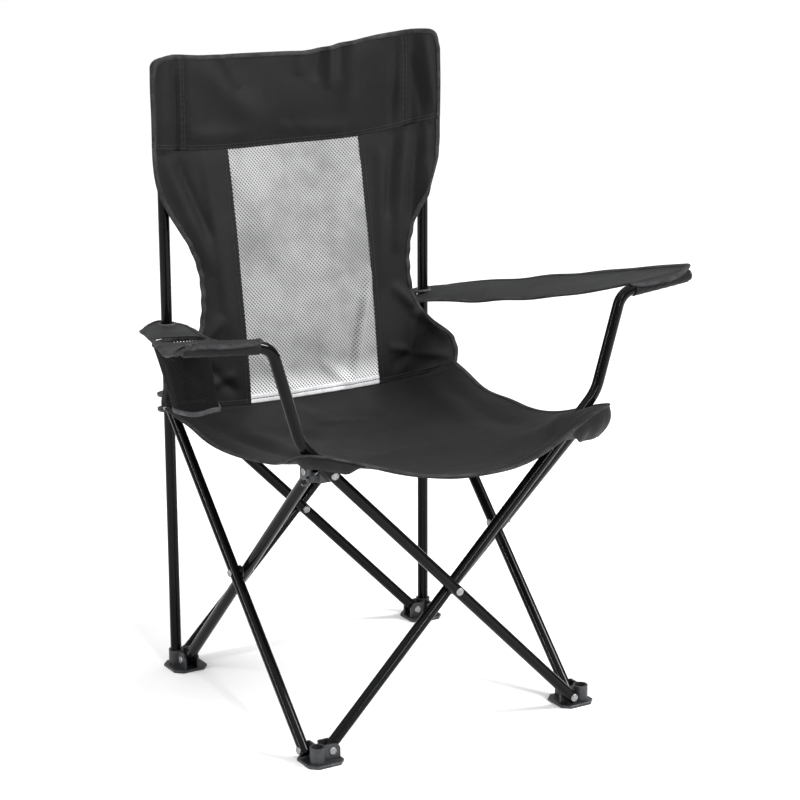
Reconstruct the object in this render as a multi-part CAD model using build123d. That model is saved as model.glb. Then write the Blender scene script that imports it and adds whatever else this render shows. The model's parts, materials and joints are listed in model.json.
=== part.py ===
from build123d import *
import os
from math import atan2, cos, degrees, hypot, radians, sin

# Folding camp chair: a square steel scissor frame with a fabric sling, two armrests and a cup holder.
# The chair faces -Y, +X is to the right of someone looking at its front, and +Z is up. The origin is on
# the floor, at the middle of the chair's box; the frame's square stands frame_shift behind it. All sizes
# are in millimetres.

os.makedirs("parts", exist_ok=True)

# ---- driving dimensions: frame ----
base_span = 430.0          # between the corner axes, side to side and front to back
hub_height = 407.0         # height of the upper pivots when the chair is open
foot_pivot_height = 16.0   # height of the lower pivots
pivot_inset = 22.0         # from a corner axis to its pivots, along the side
layer_gap = 1.0            # from the corner plane to the nearer side of each cross tube
tube_radius = 8.0
tube_wall = 1.0
tube_overhang = 7.0        # tube beyond its last pivot
post_top = 898.0
arm_knee = 24.0            # first bend of an arm tube, outward of the corner plane
arm_elbow = (65.0, 183.5)  # second bend: outward of the corner plane, above the upper pivots
arm_tip = (179.0, 194.5)   # centre of the arm tube's outer end, the same way
arm_knee_radius = 60.0
arm_elbow_radius = 27.0
frame_shift = 9.4          # the frame's middle lies this far behind the origin

# ---- driving dimensions: mouldings ----
plate = 3.2                # ear and wall thickness
tube_gap = 0.4             # between a tube and the moulding beside it
socket_wall = 2.5
post_fit = 0.1             # radial gap of a post in its foot
slide_fit = 0.35           # radial gap of a post in its slider
base_reach_out = 17.0      # foot plate beyond the corner axis, outwards
base_reach_in = 37.0       # and inwards
base_chamfer = 10.0
base_thickness = 4.0
base_rounding = 1.2
foot_top = 26.0
ear_reach = 12.0           # ear beyond its pivot
hub_half_height = 12.5
ear_rounding = 0.4         # share of an ear's height, at its outer top corner
wall_rounding = 0.7        # share of ear_reach, at the foot wall's top corner
socket_relief = 0.3        # added around a socket, for the slider's bore
slot_gap = 0.1             # beyond a turning tube's end, where its slot ends
rib_relief = 1.0           # below a rivet's head
flange_radius = 17.0
flange_thickness = 3.0
front_boss_top = -3.0      # top of the front hub's boss, from the upper pivot height
front_ear_top = 10.0       # top of the front hub's ears, from the same height

# ---- driving dimensions: fasteners ----
rivet_radius = 2.5
rivet_fit = 0.05           # radial gap of a tube on its rivet
rivet_head_radius = 5.5
rivet_head = 1.9
rivet_dome = 0.8           # share of a head's height that is rounded
spacer_reach = 0.5         # beyond the tubes' radius
spacer_gap = 0.3           # each side of a spacer

# ---- driving dimensions: sling ----
cloth = 2.4                # thickness of the cloth solids
panel_gap = 0.5            # between sewn neighbours
seat_side_reach = 30.0     # side hems beyond the corner axes
seat_rear_inset = 49.0     # rear seam in front of the rear corner axes
seat_front_reach = 35.0    # front corners beyond the front corner axes
seat_front_bulge = 12.0    # the front hem's middle bows forward
seat_sag = 35.0            # the seat's lowest point, below the upper pivots
seat_side_rise = 24.0
seat_rear_rise = 26.0
seat_front_rise = 12.0
seat_rear_corner = -4.0    # added at the rear corners
seat_front_corner = 36.0   # and at the front ones, above a tube's radius
seat_crease = 0.12         # softens the fold line down the seat's middle, as a share of its half width
mesh_half_width = 108.0
back_waist = 0.46          # height of the back's narrowest place, as a share of its height
back_waist_inset = 43.0    # inside the corner axes
back_wing_reach = 26.0     # the back's bottom, beyond the corner axes
back_hollow = 3.0          # the back's middle in front of its hems, at the seat
back_lean_middle = 1.35    # power of the height by which the middle leans back
back_lean_hem = 0.8        # and the hems
header_height = 136.0
header_rise = 5.0          # header's top above the posts
header_reach = 18.0        # header's side hems beyond the corner axes
header_gap = 6.0           # from the posts to the front of their pockets
header_bow = 27.0          # the back's middle stands this far behind the pockets' front
pocket_depth = 27.0
pocket_width = 33.0        # from the corner axes to the pockets' inner stitch line
armrest_thickness = 3.0
armrest_rear_half = 38.0
armrest_rear_overhang = 28.0
armrest_rear_rise = 113.0  # the armrest's rear end above the upper pivots
armrest_front_gap = 1.0    # between the armrest's underside and the arm tube
armrest_elbow_inset = 14.0 # the armrest's front starts this far beyond the arm's elbow
armrest_tip_inset = 3.0    # and ends this far before the tip
sleeve_inset = 20.0        # the sleeve is this much shorter than the arm's outer run
sleeve_wall = 2.0
sleeve_fit = 0.5
post_eyelet_gap = 1.0
arm_hole_gap = 2.0         # around an arm tube where it passes through the seat
cup_radius_top = 39.0
cup_radius_bottom = 32.0
cup_hole_inset = 3.0       # the armrest's hole is this much smaller than the net's top
cup_depth = 108.0
cup_wall = 2.0
cup_place = 0.36           # along the armrest, from its rear end
cup_rim_height = 3.2
cup_rim_reach = 1.2
cup_spare = 20.0           # net above the armrest, cut away again
cap_length = 12.0
post_cap_height, post_cap_rounding = 2.5, 2.0
arm_cap_height, arm_cap_rounding = 4.0, 3.0

corner_names = ["front_left", "front_right", "rear_right", "rear_left"]
side_names = ["front", "right", "rear", "left"]

layer_offset = tube_radius + layer_gap       # from the corner plane to each cross tube's axis
spacer_radius = tube_radius + spacer_reach
pivot_span = base_span - 2 * pivot_inset
pivot_rise = hub_height - foot_pivot_height
cross_angle = degrees(atan2(pivot_rise, pivot_span))
cross_length = hypot(pivot_span, pivot_rise)
half = base_span / 2
hub_low = hub_height - hub_half_height
hub_high = hub_height + hub_half_height
inner_face = layer_offset - tube_radius      # from the corner plane to the nearer side of a tube
outer_face = layer_offset + tube_radius
header_top = post_top + header_rise
header_seam = header_top - header_height
header_half_width = half + header_reach
header_front = half - tube_radius - header_gap
pocket_stitch = half - pocket_width
seat_half_width = half + seat_side_reach
seat_rear = half - seat_rear_inset
seat_front = -half - seat_front_reach
seat_low = hub_height - seat_sag
seat_middle = (seat_rear + seat_front) / 2
seat_reach = (seat_rear - seat_front) / 2
armrest_rear_height = hub_height + armrest_rear_rise


def corner(k):
    """Place of corner k: local +X runs along its own side, local +Y along the side before it."""
    turn = Rot(0, 0, 90 * k)
    x, y = [(-half, -half), (half, -half), (half, half), (-half, half)][k]
    return Pos(x, y + frame_shift, 0) * turn


def block(x, y, z):
    """Box from its three (low, high) pairs."""
    size = [max(a) - min(a) for a in (x, y, z)]
    middle = [(a[0] + a[1]) / 2 for a in (x, y, z)]
    return Pos(*middle) * Box(*size)


def disc(radius, low, high):
    """Upright cylinder on the local origin's axis."""
    return Pos(0, 0, (low + high) / 2) * Cylinder(radius, high - low)


def pin_along_y(radius, x, z, y0, y1):
    """Cylinder along local Y."""
    return Pos(x, (y0 + y1) / 2, z) * Rot(90, 0, 0) * Cylinder(radius, abs(y1 - y0))


def swap(shape):
    """Mirror in the corner's diagonal, so what was along its own side is along the side before it."""
    return shape.mirror(Plane(origin=(0, 0, 0), z_dir=(1, -1, 0)))


def rivet(x, z, y0, y1):
    """Rivet along local Y whose heads seat on y0 and y1."""
    body = pin_along_y(rivet_radius, x, z, y0 - rivet_head, y1 + rivet_head)
    for y, sign in ((y0, -1), (y1, 1)):
        head = pin_along_y(rivet_head_radius, x, z, y, y + sign * rivet_head)
        far = head.edges().filter_by(GeomType.CIRCLE).sort_by(Axis.Y)
        head = fillet(far[-1] if sign > 0 else far[0], rivet_head * rivet_dome)
        body += head
    return body


def save(name, shape):
    """Write one node's STEP file."""
    export_step(shape, f"parts/{name}.step")


# ---- tubes ----

def cross_bar(x_foot, x_hub, y, arm, radius):
    """Solid bar in a side's own frame, from its foot pivot to its hub pivot, or on to the arm's tip."""
    way = 1 if x_hub > x_foot else -1
    along = Vector(pivot_span * way, 0, pivot_rise).normalized()
    first = Vector(x_foot, y, foot_pivot_height) - along * tube_overhang
    hub = Vector(x_hub, y, hub_height)
    if arm:
        knee = (arm_knee, (pivot_inset + arm_knee) * pivot_rise / pivot_span)
        outward = [hub + Vector(way * (pivot_inset + a), 0, b) for a, b in (knee, arm_elbow, arm_tip)]
        path = FilletPolyline(first, *outward, radius=[arm_knee_radius, arm_elbow_radius])
    else:
        path = Line(first, hub + along * tube_overhang)
    return sweep(Plane(origin=first, z_dir=path % 0) * Circle(radius), path=path)


def cross_tube(x_foot, x_hub, y, arm):
    """Hollow cross tube, drilled for its rivets."""
    tube = cross_bar(x_foot, x_hub, y, arm, tube_radius)
    tube -= cross_bar(x_foot, x_hub, y, arm, tube_radius - tube_wall)
    centre = ((x_foot + x_hub) / 2, (foot_pivot_height + hub_height) / 2)
    for x, z in ((x_foot, foot_pivot_height), centre, (x_hub, hub_height)):
        tube -= pin_along_y(rivet_radius + rivet_fit, x, z, y - 2 * tube_radius, y + 2 * tube_radius)
    return tube


for k, side in enumerate(side_names):
    near, far = pivot_inset, base_span - pivot_inset
    has_arm = side == "front"
    save(f"{side}_cross_inner", corner(k) * cross_tube(near, far, layer_offset, has_arm))
    save(f"{side}_cross_outer", corner(k) * cross_tube(far, near, -layer_offset, has_arm))
    middle_x, middle_z = base_span / 2, (foot_pivot_height + hub_height) / 2
    save(f"{side}_cross_rivet", corner(k) * rivet(middle_x, middle_z, -outer_face, outer_face))
    half_spacer = inner_face - spacer_gap
    ring = pin_along_y(spacer_radius, middle_x, middle_z, -half_spacer, half_spacer)
    ring -= pin_along_y(rivet_radius + rivet_fit, middle_x, middle_z, -half_spacer, half_spacer)
    save(f"{side}_cross_spacer", corner(k) * ring)

# ---- feet, sliders and hubs ----

ear_inner = inner_face - tube_gap            # an ear's face beside its tube
ear_outer = ear_inner - plate                # and its other face
socket_radius = tube_radius + socket_wall + socket_relief
slot_start = pivot_inset - hypot(tube_overhang, tube_radius) - slot_gap   # clears a turning tube end


def ear(side_sign, low, high):
    """Upright ear along local X that carries a pivot, beside a tube on the side_sign side of it."""
    y = sorted((side_sign * ear_inner, side_sign * ear_outer))
    plate_body = block((0, pivot_inset + ear_reach), y, (low, high))
    corners = plate_body.edges().filter_by(Axis.Y).group_by(Axis.X)[-1]
    top = corners.sort_by(Axis.Z)[-1]
    return fillet(top, min(ear_reach, (high - low) * ear_rounding))


def foot():
    """Foot moulding: plate, post socket, an ear and wall for the inner tube, an ear for the outer."""
    out, inward = -base_reach_out, base_reach_in
    base = block((out, inward), (out, inward), (0, base_thickness))
    base = chamfer(base.edges().filter_by(Axis.Z), base_chamfer)
    base = fillet(base.faces().sort_by(Axis.Z)[-1].edges(), base_rounding)
    body = base + disc(socket_radius, base_thickness / 2, foot_top)
    body += ear(1, base_thickness / 2, foot_top) + swap(ear(-1, base_thickness / 2, foot_top))
    wall_y = (outer_face + tube_gap, outer_face + tube_gap + plate)
    wall_end = pivot_inset + ear_reach
    wall = block((slot_start, wall_end), wall_y, (base_thickness / 2, foot_top))
    top = wall.edges().filter_by(Axis.Y).group_by(Axis.X)[-1].sort_by(Axis.Z)[-1]
    body += fillet(top, ear_reach * wall_rounding)
    rib_top = foot_pivot_height - rivet_head_radius - rib_relief
    body += block((0, slot_start + 1), wall_y, (base_thickness / 2, rib_top))
    bore = tube_radius + post_fit
    body -= disc(bore, base_thickness, foot_top + 1)
    body -= pin_along_y(rivet_radius, pivot_inset, foot_pivot_height, -10, outer_face + 10)
    body -= swap(pin_along_y(rivet_radius, pivot_inset, foot_pivot_height, -10, 10))
    return body


def hub(front, inner_arm):
    """Upper moulding: a flanged boss on the corner axis with an ear for each of two tubes."""
    top = hub_height + front_boss_top if front else hub_high
    body = disc(socket_radius, hub_low, top)
    body += disc(flange_radius, hub_low, hub_low + flange_thickness)
    if not front:
        body += disc(flange_radius, hub_high - flange_thickness, hub_high)
    ear_top = hub_height + front_ear_top if front else hub_high
    body += ear(-1, hub_low, ear_top) + swap(ear(1, hub_low, ear_top))
    below, above = hub_low - 1, hub_high + 1
    reach = pivot_inset + ear_reach + 30
    lane = (inner_face - tube_gap, outer_face + 2)
    outer_lane = (-lane[1], -lane[0])
    body -= block((slot_start, reach), outer_lane, (below, above))
    body -= block(lane, (slot_start, reach), (below, above))
    if front and not inner_arm:
        body -= block((-reach, reach), outer_lane, (below, above))
    if front and inner_arm:
        body -= block(lane, (-reach, reach), (top, above))
    bore = tube_radius + slide_fit
    body -= disc(bore, below, above)
    body -= pin_along_y(rivet_radius, pivot_inset, hub_height, -10, 10)
    body -= swap(pin_along_y(rivet_radius, pivot_inset, hub_height, -10, 10))
    return body


def rivet_pair(z, own_lane, other_lane):
    """The two rivets of one moulding: along local Y on its own side, along local X on the other."""
    return rivet(pivot_inset, z, *own_lane) + swap(rivet(pivot_inset, z, *other_lane))


for k, name in enumerate(corner_names):
    is_front = name.startswith("front")
    save(f"{name}_foot", corner(k) * foot())
    clevis_end = outer_face + tube_gap + plate
    foot_lanes = ((ear_outer, clevis_end), (-outer_face, -ear_outer))
    save(f"{name}_foot_rivets", corner(k) * rivet_pair(foot_pivot_height, *foot_lanes))
    hub_lanes = ((-outer_face, -ear_outer), (ear_outer, outer_face))
    save(f"{name}_hub_rivets", corner(k) * rivet_pair(hub_height, *hub_lanes))
    upper = hub(is_front, name == "front_right")
    save(f"{name}_hub" if is_front else f"{name}_slider", corner(k) * upper)

# ---- rear posts and end caps ----

for k, name in ((2, "rear_right"), (3, "rear_left")):
    tube = disc(tube_radius, base_thickness, post_top) - disc(tube_radius - tube_wall, 0, post_top + 1)
    save(f"{name}_post", corner(k) * tube)
    cap = disc(tube_radius, post_top, post_top + post_cap_height)
    cap = fillet(cap.edges().filter_by(GeomType.CIRCLE).sort_by(Axis.Z)[-1], post_cap_rounding)
    cap += disc(tube_radius - tube_wall, post_top - cap_length, post_top + 1)
    save(f"{name}_post_cap", corner(k) * cap)

arm_y = {"left": -half - layer_offset + frame_shift, "right": -half + layer_offset + frame_shift}
hub_x = half - pivot_inset
elbow = (hub_x + pivot_inset + arm_elbow[0], hub_height + arm_elbow[1])
tip = (hub_x + pivot_inset + arm_tip[0], hub_height + arm_tip[1])
arm_slope = degrees(atan2(tip[1] - elbow[1], tip[0] - elbow[0]))


def along_arm(sign, y):
    """Place at the arm tube's tip with local Z along the tube's outer run, on the sign side."""
    direction = Vector(sign * cos(radians(arm_slope)), 0, sin(radians(arm_slope)))
    return Plane(origin=(sign * tip[0], y, tip[1]), z_dir=direction).location


for name, sign in (("left", -1), ("right", 1)):
    cap = disc(tube_radius, 0, arm_cap_height)
    cap = fillet(cap.edges().filter_by(GeomType.CIRCLE).sort_by(Axis.Z)[-1], arm_cap_rounding)
    cap += disc(tube_radius - tube_wall, -cap_length, 1.0)
    save(f"{name}_arm_cap", along_arm(sign, arm_y[name]) * cap)

# ---- sling: sheets over two-way grids of points ----

grid_steps = 12


def sheet(point_at, thickness=cloth, steps=grid_steps):
    """Cloth solid: a smooth face through point_at(s, t) for s and t from 0 to 1, thickened both ways."""
    rows = [[point_at(i / steps, j / steps) for i in range(steps + 1)] for j in range(steps + 1)]
    face = Face.make_surface_from_array_of_points(rows, tol=0.05)
    return thicken(face, thickness / 2, both=True)


def seat_point(x, y):
    """Point on the seat: low in the middle, higher at each hem, and highest at the front corners."""
    out = abs(x) / seat_half_width
    a = hypot(out, seat_crease) - seat_crease * (1 - out)
    b = abs(y - seat_middle) / seat_reach
    behind = y > seat_middle
    rise = seat_rear_rise if behind else seat_front_rise
    lift = seat_rear_corner if behind else seat_front_corner + tube_radius
    z = seat_low + seat_side_rise * a * a + rise * b * b + lift * a * b
    bow = seat_front_bulge * (1 - a * a) * max(0.0, seat_middle - y) / seat_reach
    return Vector(x, y - bow + frame_shift, z)


def seat_half(y0, y1):
    """One half of the seat, between two lines across it."""
    wide = 2 * seat_half_width
    return sheet(lambda s, t: seat_point(wide * (s - 0.5), y0 + (y1 - y0) * t))


def arm_passage(x_foot, x_hub, y):
    """Cutter round a front tube, from its foot to its arm's tip, for where it comes up through the seat."""
    return corner(0) * cross_bar(x_foot, x_hub, y, True, tube_radius + arm_hole_gap)


seat_front_half = seat_half(seat_middle - panel_gap / 2, seat_front)
seat_front_half -= arm_passage(pivot_inset, base_span - pivot_inset, layer_offset)
seat_front_half -= arm_passage(base_span - pivot_inset, pivot_inset, -layer_offset)
save("seat_front_half", seat_front_half)
save("seat_rear_half", seat_half(seat_middle + panel_gap / 2, seat_rear))

back_bottom = seat_low + seat_rear_rise + cloth


def back_width(z):
    """Half width of the back: wide at the seat, drawn in at the lumbar, wide again at the header."""
    share = (z - back_bottom) / (header_seam - back_bottom)
    waist, wing = half - back_waist_inset, half + back_wing_reach
    stations = ((0.0, wing), (0.10, wing), (0.22, half - 10.0), (0.33, waist + 7.0),
                (back_waist, waist), (0.61, waist + 9.0), (0.76, half - 2.0),
                (0.90, header_half_width - 1.0), (1.0, header_half_width))
    for (s0, w0), (s1, w1) in zip(stations, stations[1:]):
        if share <= s1:
            t = (share - s0) / (s1 - s0)
            return w0 + (w1 - w0) * t * t * (3 - 2 * t)
    return header_half_width


def back_depth(x, z):
    """Distance of the back cloth behind the frame's middle: it leans back, and its middle bows."""
    rise = min(1.0, max(0.0, (z - back_bottom) / (header_seam - back_bottom)))
    low = seat_rear - back_hollow
    middle = low + (header_front + header_bow - low) * rise ** back_lean_middle
    hem = seat_rear + (header_front - seat_rear) * rise ** back_lean_hem
    across = min(1.0, abs(x) / back_width(z)) ** 2
    return middle + (hem - middle) * across


def back_sheet(x_low, x_high):
    """Part of the back between two edges, each a function of height, above the seat's rear seam."""
    def point_at(s, t):
        level = back_bottom + (header_seam - back_bottom) * t
        x = x_low(level) + (x_high(level) - x_low(level)) * s
        low = seat_point(x, seat_rear).Z + cloth + panel_gap
        z = low + (header_seam - panel_gap - low) * t
        return Vector(x, back_depth(x, z) + frame_shift, z)
    return sheet(point_at, steps=18)


edge = mesh_half_width + panel_gap / 2
save("back_mesh", back_sheet(lambda z: -mesh_half_width + panel_gap / 2,
                             lambda z: mesh_half_width - panel_gap / 2))
save("back_panel_left", back_sheet(lambda z: -back_width(z), lambda z: -edge))
save("back_panel_right", back_sheet(lambda z: edge, lambda z: back_width(z)))


def header_point(s, t):
    """Point on the header between the two post pockets."""
    x = pocket_stitch * (2 * s - 1)
    bow = header_bow * (1 - (x / header_half_width) ** 2)
    return Vector(x, header_front + bow + frame_shift, header_seam + (header_top - header_seam) * t)


header = sheet(header_point)
for sign in (-1, 1):
    pocket_x = sorted((sign * (pocket_stitch - cloth), sign * header_half_width))
    hollow_x = (pocket_x[0] + cloth, pocket_x[1] - cloth)
    pocket_y = (header_front - cloth / 2, header_front + pocket_depth)
    pocket = block(pocket_x, pocket_y, (header_seam, header_top))
    hollow_y = (pocket_y[0] + cloth, pocket_y[1] - cloth)
    pocket -= block(hollow_x, hollow_y, (header_seam - 1, header_top - 1.2))
    header += Pos(0, frame_shift, 0) * pocket
save("back_header", header)

# ---- armrests and cup holder ----


def armrest_point(sign, s, t):
    """Middle of the armrest's thickness: s from 0 at its inner hem to 1, t from 0 at its rear to 1."""
    name = "left" if sign < 0 else "right"
    rear_y, front_y = half + armrest_rear_overhang + frame_shift, arm_y[name]
    front_low, front_high = elbow[0] + armrest_elbow_inset, tip[0] - armrest_tip_inset
    over = tube_radius + armrest_front_gap + armrest_thickness / 2
    x_rear = half - armrest_rear_half + 2 * armrest_rear_half * s
    x_front = front_low + (front_high - front_low) * s
    z_front = elbow[1] + (x_front - elbow[0]) * (tip[1] - elbow[1]) / (tip[0] - elbow[0]) + over
    x, y = x_rear + (x_front - x_rear) * t, rear_y + (front_y - rear_y) * t
    return Vector(sign * x, y, armrest_rear_height + (z_front - armrest_rear_height) * t)


def armrest(sign, name):
    """Armrest strip with its post hole, and the sleeve that carries it on the arm tube."""
    strip = sheet(lambda s, t: armrest_point(sign, s, t), armrest_thickness, 6)
    strip -= Pos(sign * half, half + frame_shift, 600) * Cylinder(tube_radius + post_eyelet_gap, 400)
    run = tip[0] - elbow[0] - sleeve_inset
    sleeve_bore = tube_radius + sleeve_fit
    sleeve = Cylinder(sleeve_bore + sleeve_wall, run) - Cylinder(sleeve_bore, run + 1)
    hold = along_arm(sign, arm_y[name]) * Pos(0, 0, -run / 2 - armrest_tip_inset)
    strip -= hold * Cylinder(sleeve_bore, run + 90)
    return strip + hold * sleeve


cup_centre = armrest_point(-1, 0.5, cup_place)
along = armrest_point(-1, 0.5, cup_place + 0.05) - armrest_point(-1, 0.5, cup_place - 0.05)
across = armrest_point(-1, 0.4, cup_place) - armrest_point(-1, 0.6, cup_place)
cup_normal = across.cross(along).normalized()
cup_normal = cup_normal if cup_normal.Z > 0 else cup_normal * (-1)
cup_floor = cup_centre.Z - cup_depth
hole_radius = cup_radius_top - cup_hole_inset
left_armrest = armrest(-1, "left") - Pos(cup_centre.X, cup_centre.Y, 600) * Cylinder(hole_radius, 400)
save("left_armrest", left_armrest)
save("right_armrest", armrest(1, "right"))

tall = cup_depth + cup_spare
shell = Pos(0, 0, cup_floor + tall / 2) * Cone(cup_radius_bottom, cup_radius_top, tall)
hollow = Pos(0, 0, cup_floor + cup_wall + tall / 2) * Cone(cup_radius_bottom - cup_wall,
                                                         cup_radius_top - cup_wall, tall)
net = Pos(cup_centre.X, cup_centre.Y, 0) * (shell - hollow)
rim_low = armrest_thickness / 2 + panel_gap + cup_rim_height
above_rim = Plane(origin=cup_centre - cup_normal * (rim_low + panel_gap), z_dir=cup_normal)
net -= above_rim * Pos(0, 0, 60) * Box(200, 200, 120)
save("cup_holder_net", net)
rim = Cylinder(cup_radius_top + cup_rim_reach, cup_rim_height) - Cylinder(hole_radius, 9)
rim_place = Plane(origin=cup_centre - cup_normal * (rim_low - cup_rim_height / 2), z_dir=cup_normal)
save("cup_holder_rim", rim_place * rim)

print("cross angle", round(cross_angle, 3), "degrees, pivot to pivot", round(cross_length, 2))
print("cup centre", cup_centre, "floor", round(cup_floor, 1))
print("elbow", elbow, "tip", tip, "arm y", arm_y)
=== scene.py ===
import json
import logging
import math
from dataclasses import dataclass, field
from enum import Enum
from typing import Iterable, Sequence

import bpy
import numpy as np
from mathutils import Matrix, Vector


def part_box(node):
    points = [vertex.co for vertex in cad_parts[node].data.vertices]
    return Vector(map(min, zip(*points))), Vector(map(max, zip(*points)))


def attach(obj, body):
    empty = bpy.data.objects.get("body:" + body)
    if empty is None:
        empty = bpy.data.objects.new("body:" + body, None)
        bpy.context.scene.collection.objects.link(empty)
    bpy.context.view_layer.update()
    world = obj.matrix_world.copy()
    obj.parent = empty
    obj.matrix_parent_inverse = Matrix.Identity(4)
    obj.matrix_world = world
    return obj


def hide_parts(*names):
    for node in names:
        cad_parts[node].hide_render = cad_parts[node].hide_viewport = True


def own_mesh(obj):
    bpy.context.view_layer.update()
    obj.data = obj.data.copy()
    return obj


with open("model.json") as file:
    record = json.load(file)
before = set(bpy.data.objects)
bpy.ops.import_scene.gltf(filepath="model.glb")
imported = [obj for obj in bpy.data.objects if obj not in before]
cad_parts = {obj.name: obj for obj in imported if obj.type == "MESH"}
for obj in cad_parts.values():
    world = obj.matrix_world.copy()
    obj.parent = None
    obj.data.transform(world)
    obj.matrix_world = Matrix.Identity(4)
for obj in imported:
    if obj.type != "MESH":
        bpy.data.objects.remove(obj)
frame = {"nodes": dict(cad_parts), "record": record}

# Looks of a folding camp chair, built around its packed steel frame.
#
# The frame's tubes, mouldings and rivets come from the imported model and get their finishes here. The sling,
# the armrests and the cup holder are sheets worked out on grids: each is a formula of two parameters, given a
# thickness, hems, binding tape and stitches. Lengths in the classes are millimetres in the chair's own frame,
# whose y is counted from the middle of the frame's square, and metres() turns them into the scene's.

LOG = logging.getLogger("camp_chair")
Array = np.ndarray
Point = tuple[float, float, float]
Pair = tuple[float, float]
Piece = bpy.types.Object
Node = bpy.types.Node
Socket = bpy.types.NodeSocket
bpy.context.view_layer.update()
SIDES = ((-1, "left"), (1, "right"))


# ---------------------------------------------------------------------------------------------------------
# Frame measures
# ---------------------------------------------------------------------------------------------------------

@dataclass(frozen=True)
class Measures:
    """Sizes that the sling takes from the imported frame, in millimetres.

    half is from the frame's middle to the posts' axes, shift is how far the middle lies behind the origin,
    and arm_rise is the height of the arm tubes' ends.
    """

    half: float
    shift: float
    post_top: float
    hub_top: float
    arm_tip: float
    arm_rise: float
    arm_left_y: float
    arm_right_y: float
    tube_radius: float

    @classmethod
    def from_frame(cls) -> "Measures":
        """Read the posts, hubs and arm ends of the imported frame.

        Returns:
            The measures, with every y counted from the middle of the frame's square.
        """
        post, hub, left, right = (np.array(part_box(node)) * 1000 for node in (
            "rear_right_post", "front_left_hub", "left_arm_cap", "right_arm_cap"))
        low, high = post
        half = (low[0] + high[0]) / 2
        shift = (low[1] + high[1]) / 2 - half
        return cls(
            half=float(half), shift=float(shift), post_top=float(high[2]), hub_top=float(hub[1][2]),
            arm_tip=float(right[1][0]), arm_rise=float((right[0][2] + right[1][2]) / 2),
            arm_left_y=float((left[0][1] + left[1][1]) / 2 - shift),
            arm_right_y=float((right[0][1] + right[1][1]) / 2 - shift),
            tube_radius=float(high[0] - low[0]) / 2)


MEASURES = Measures.from_frame()


def metres(points: Array) -> Array:
    """Points of the chair's own frame in millimetres, as scene points in metres."""
    return (np.asarray(points, float) + np.array([0.0, MEASURES.shift, 0.0])) / 1000.0


# ---------------------------------------------------------------------------------------------------------
# Curves and meshes
# ---------------------------------------------------------------------------------------------------------

def unit(vectors: Array) -> Array:
    """Vectors scaled to length one along their last axis."""
    return vectors / np.maximum(np.linalg.norm(vectors, axis=-1, keepdims=True), 1e-12)


def smooth_line(x: Array, stations: Sequence[Pair]) -> Array:
    """Smooth curve through stations: between neighbours a cubic, whose slopes are the mean of the chords.

    Args:
        x: Where the curve is wanted.
        stations: Pairs of place and value, in rising order of place.

    Returns:
        The curve's values, held level beyond the first and last station.
    """
    xs, ys = np.array(stations, float).T
    chord = np.diff(ys) / np.diff(xs)
    slope = np.concatenate((chord[:1], (chord[1:] + chord[:-1]) / 2, chord[-1:]))
    x = np.clip(np.asarray(x, float), xs[0], xs[-1])
    k = np.clip(np.searchsorted(xs, x) - 1, 0, len(xs) - 2)
    span = xs[k + 1] - xs[k]
    t = (x - xs[k]) / span
    start = (1 + 2 * t) * (1 - t) ** 2 * ys[k] + t * (1 - t) ** 2 * span * slope[k]
    end = t * t * (3 - 2 * t) * ys[k + 1] + t * t * (t - 1) * span * slope[k + 1]
    return start + end


def smoothstep(x: Array, low: float, high: float) -> Array:
    """Ramp from 0 at low to 1 at high, level at both ends."""
    t = np.clip((np.asarray(x, float) - low) / (high - low), 0, 1)
    return t * t * (3 - 2 * t)


def lengths_along(path: Array) -> Array:
    """Distance of each point of a path from its first point."""
    return np.concatenate(([0.0], np.cumsum(np.linalg.norm(np.diff(path, axis=0), axis=1))))


def resample(values: Array, places: Array, along: Array | None = None) -> Array:
    """Rows of values at the given distances along a path, straight between neighbours.

    Args:
        values: One row for each point of the path.
        places: Distances from the path's start.
        along: Distance of each row from the start, or None where the rows are the path's own points.

    Returns:
        One row for each place.
    """
    along = lengths_along(values) if along is None else along
    return np.stack([np.interp(places, along, column) for column in values.T], axis=1)


def normals_of(grid: Array) -> Array:
    """Unit normal of a grid of points: the cross product of its steps along the columns and the rows."""
    return unit(np.cross(np.gradient(grid, axis=1), np.gradient(grid, axis=0)))


def ring_of(count: int) -> tuple[Array, Array, Array]:
    """Directions round a level ring.

    Args:
        count: How many.

    Returns:
        The angles, the unit vectors outward at each and as many vectors straight up.
    """
    angle = np.linspace(0, 2 * math.pi, count, endpoint=False)
    outward = np.stack([np.cos(angle), np.sin(angle), np.zeros_like(angle)], axis=-1)
    return angle, outward, np.tile(np.array([0.0, 0.0, 1.0]), (count, 1))


@dataclass(frozen=True)
class Fold:
    """A soft ridge or hollow in cloth: a bell-shaped swelling beside a straight line, faded at both ends."""

    start: Pair
    end: Pair
    width: float
    height: float

    def lift(self, a: Array, b: Array) -> Array:
        """Height of the fold over the sheet's flat coordinates.

        Args:
            a: First flat coordinate of each point.
            b: Second flat coordinate.

        Returns:
            height * exp(-(distance / width)^2) * (1 - (2 t - 1)^4), with t the place along the line.
        """
        s, e = np.array(self.start), np.array(self.end)
        run = e - s
        t = ((a - s[0]) * run[0] + (b - s[1]) * run[1]) / (run @ run)
        away = ((a - s[0]) * run[1] - (b - s[1]) * run[0]) / np.sqrt(run @ run)
        fade = np.clip(1 - (2 * t - 1) ** 4, 0, 1)
        return self.height * np.exp(-((away / self.width) ** 2)) * fade


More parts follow.
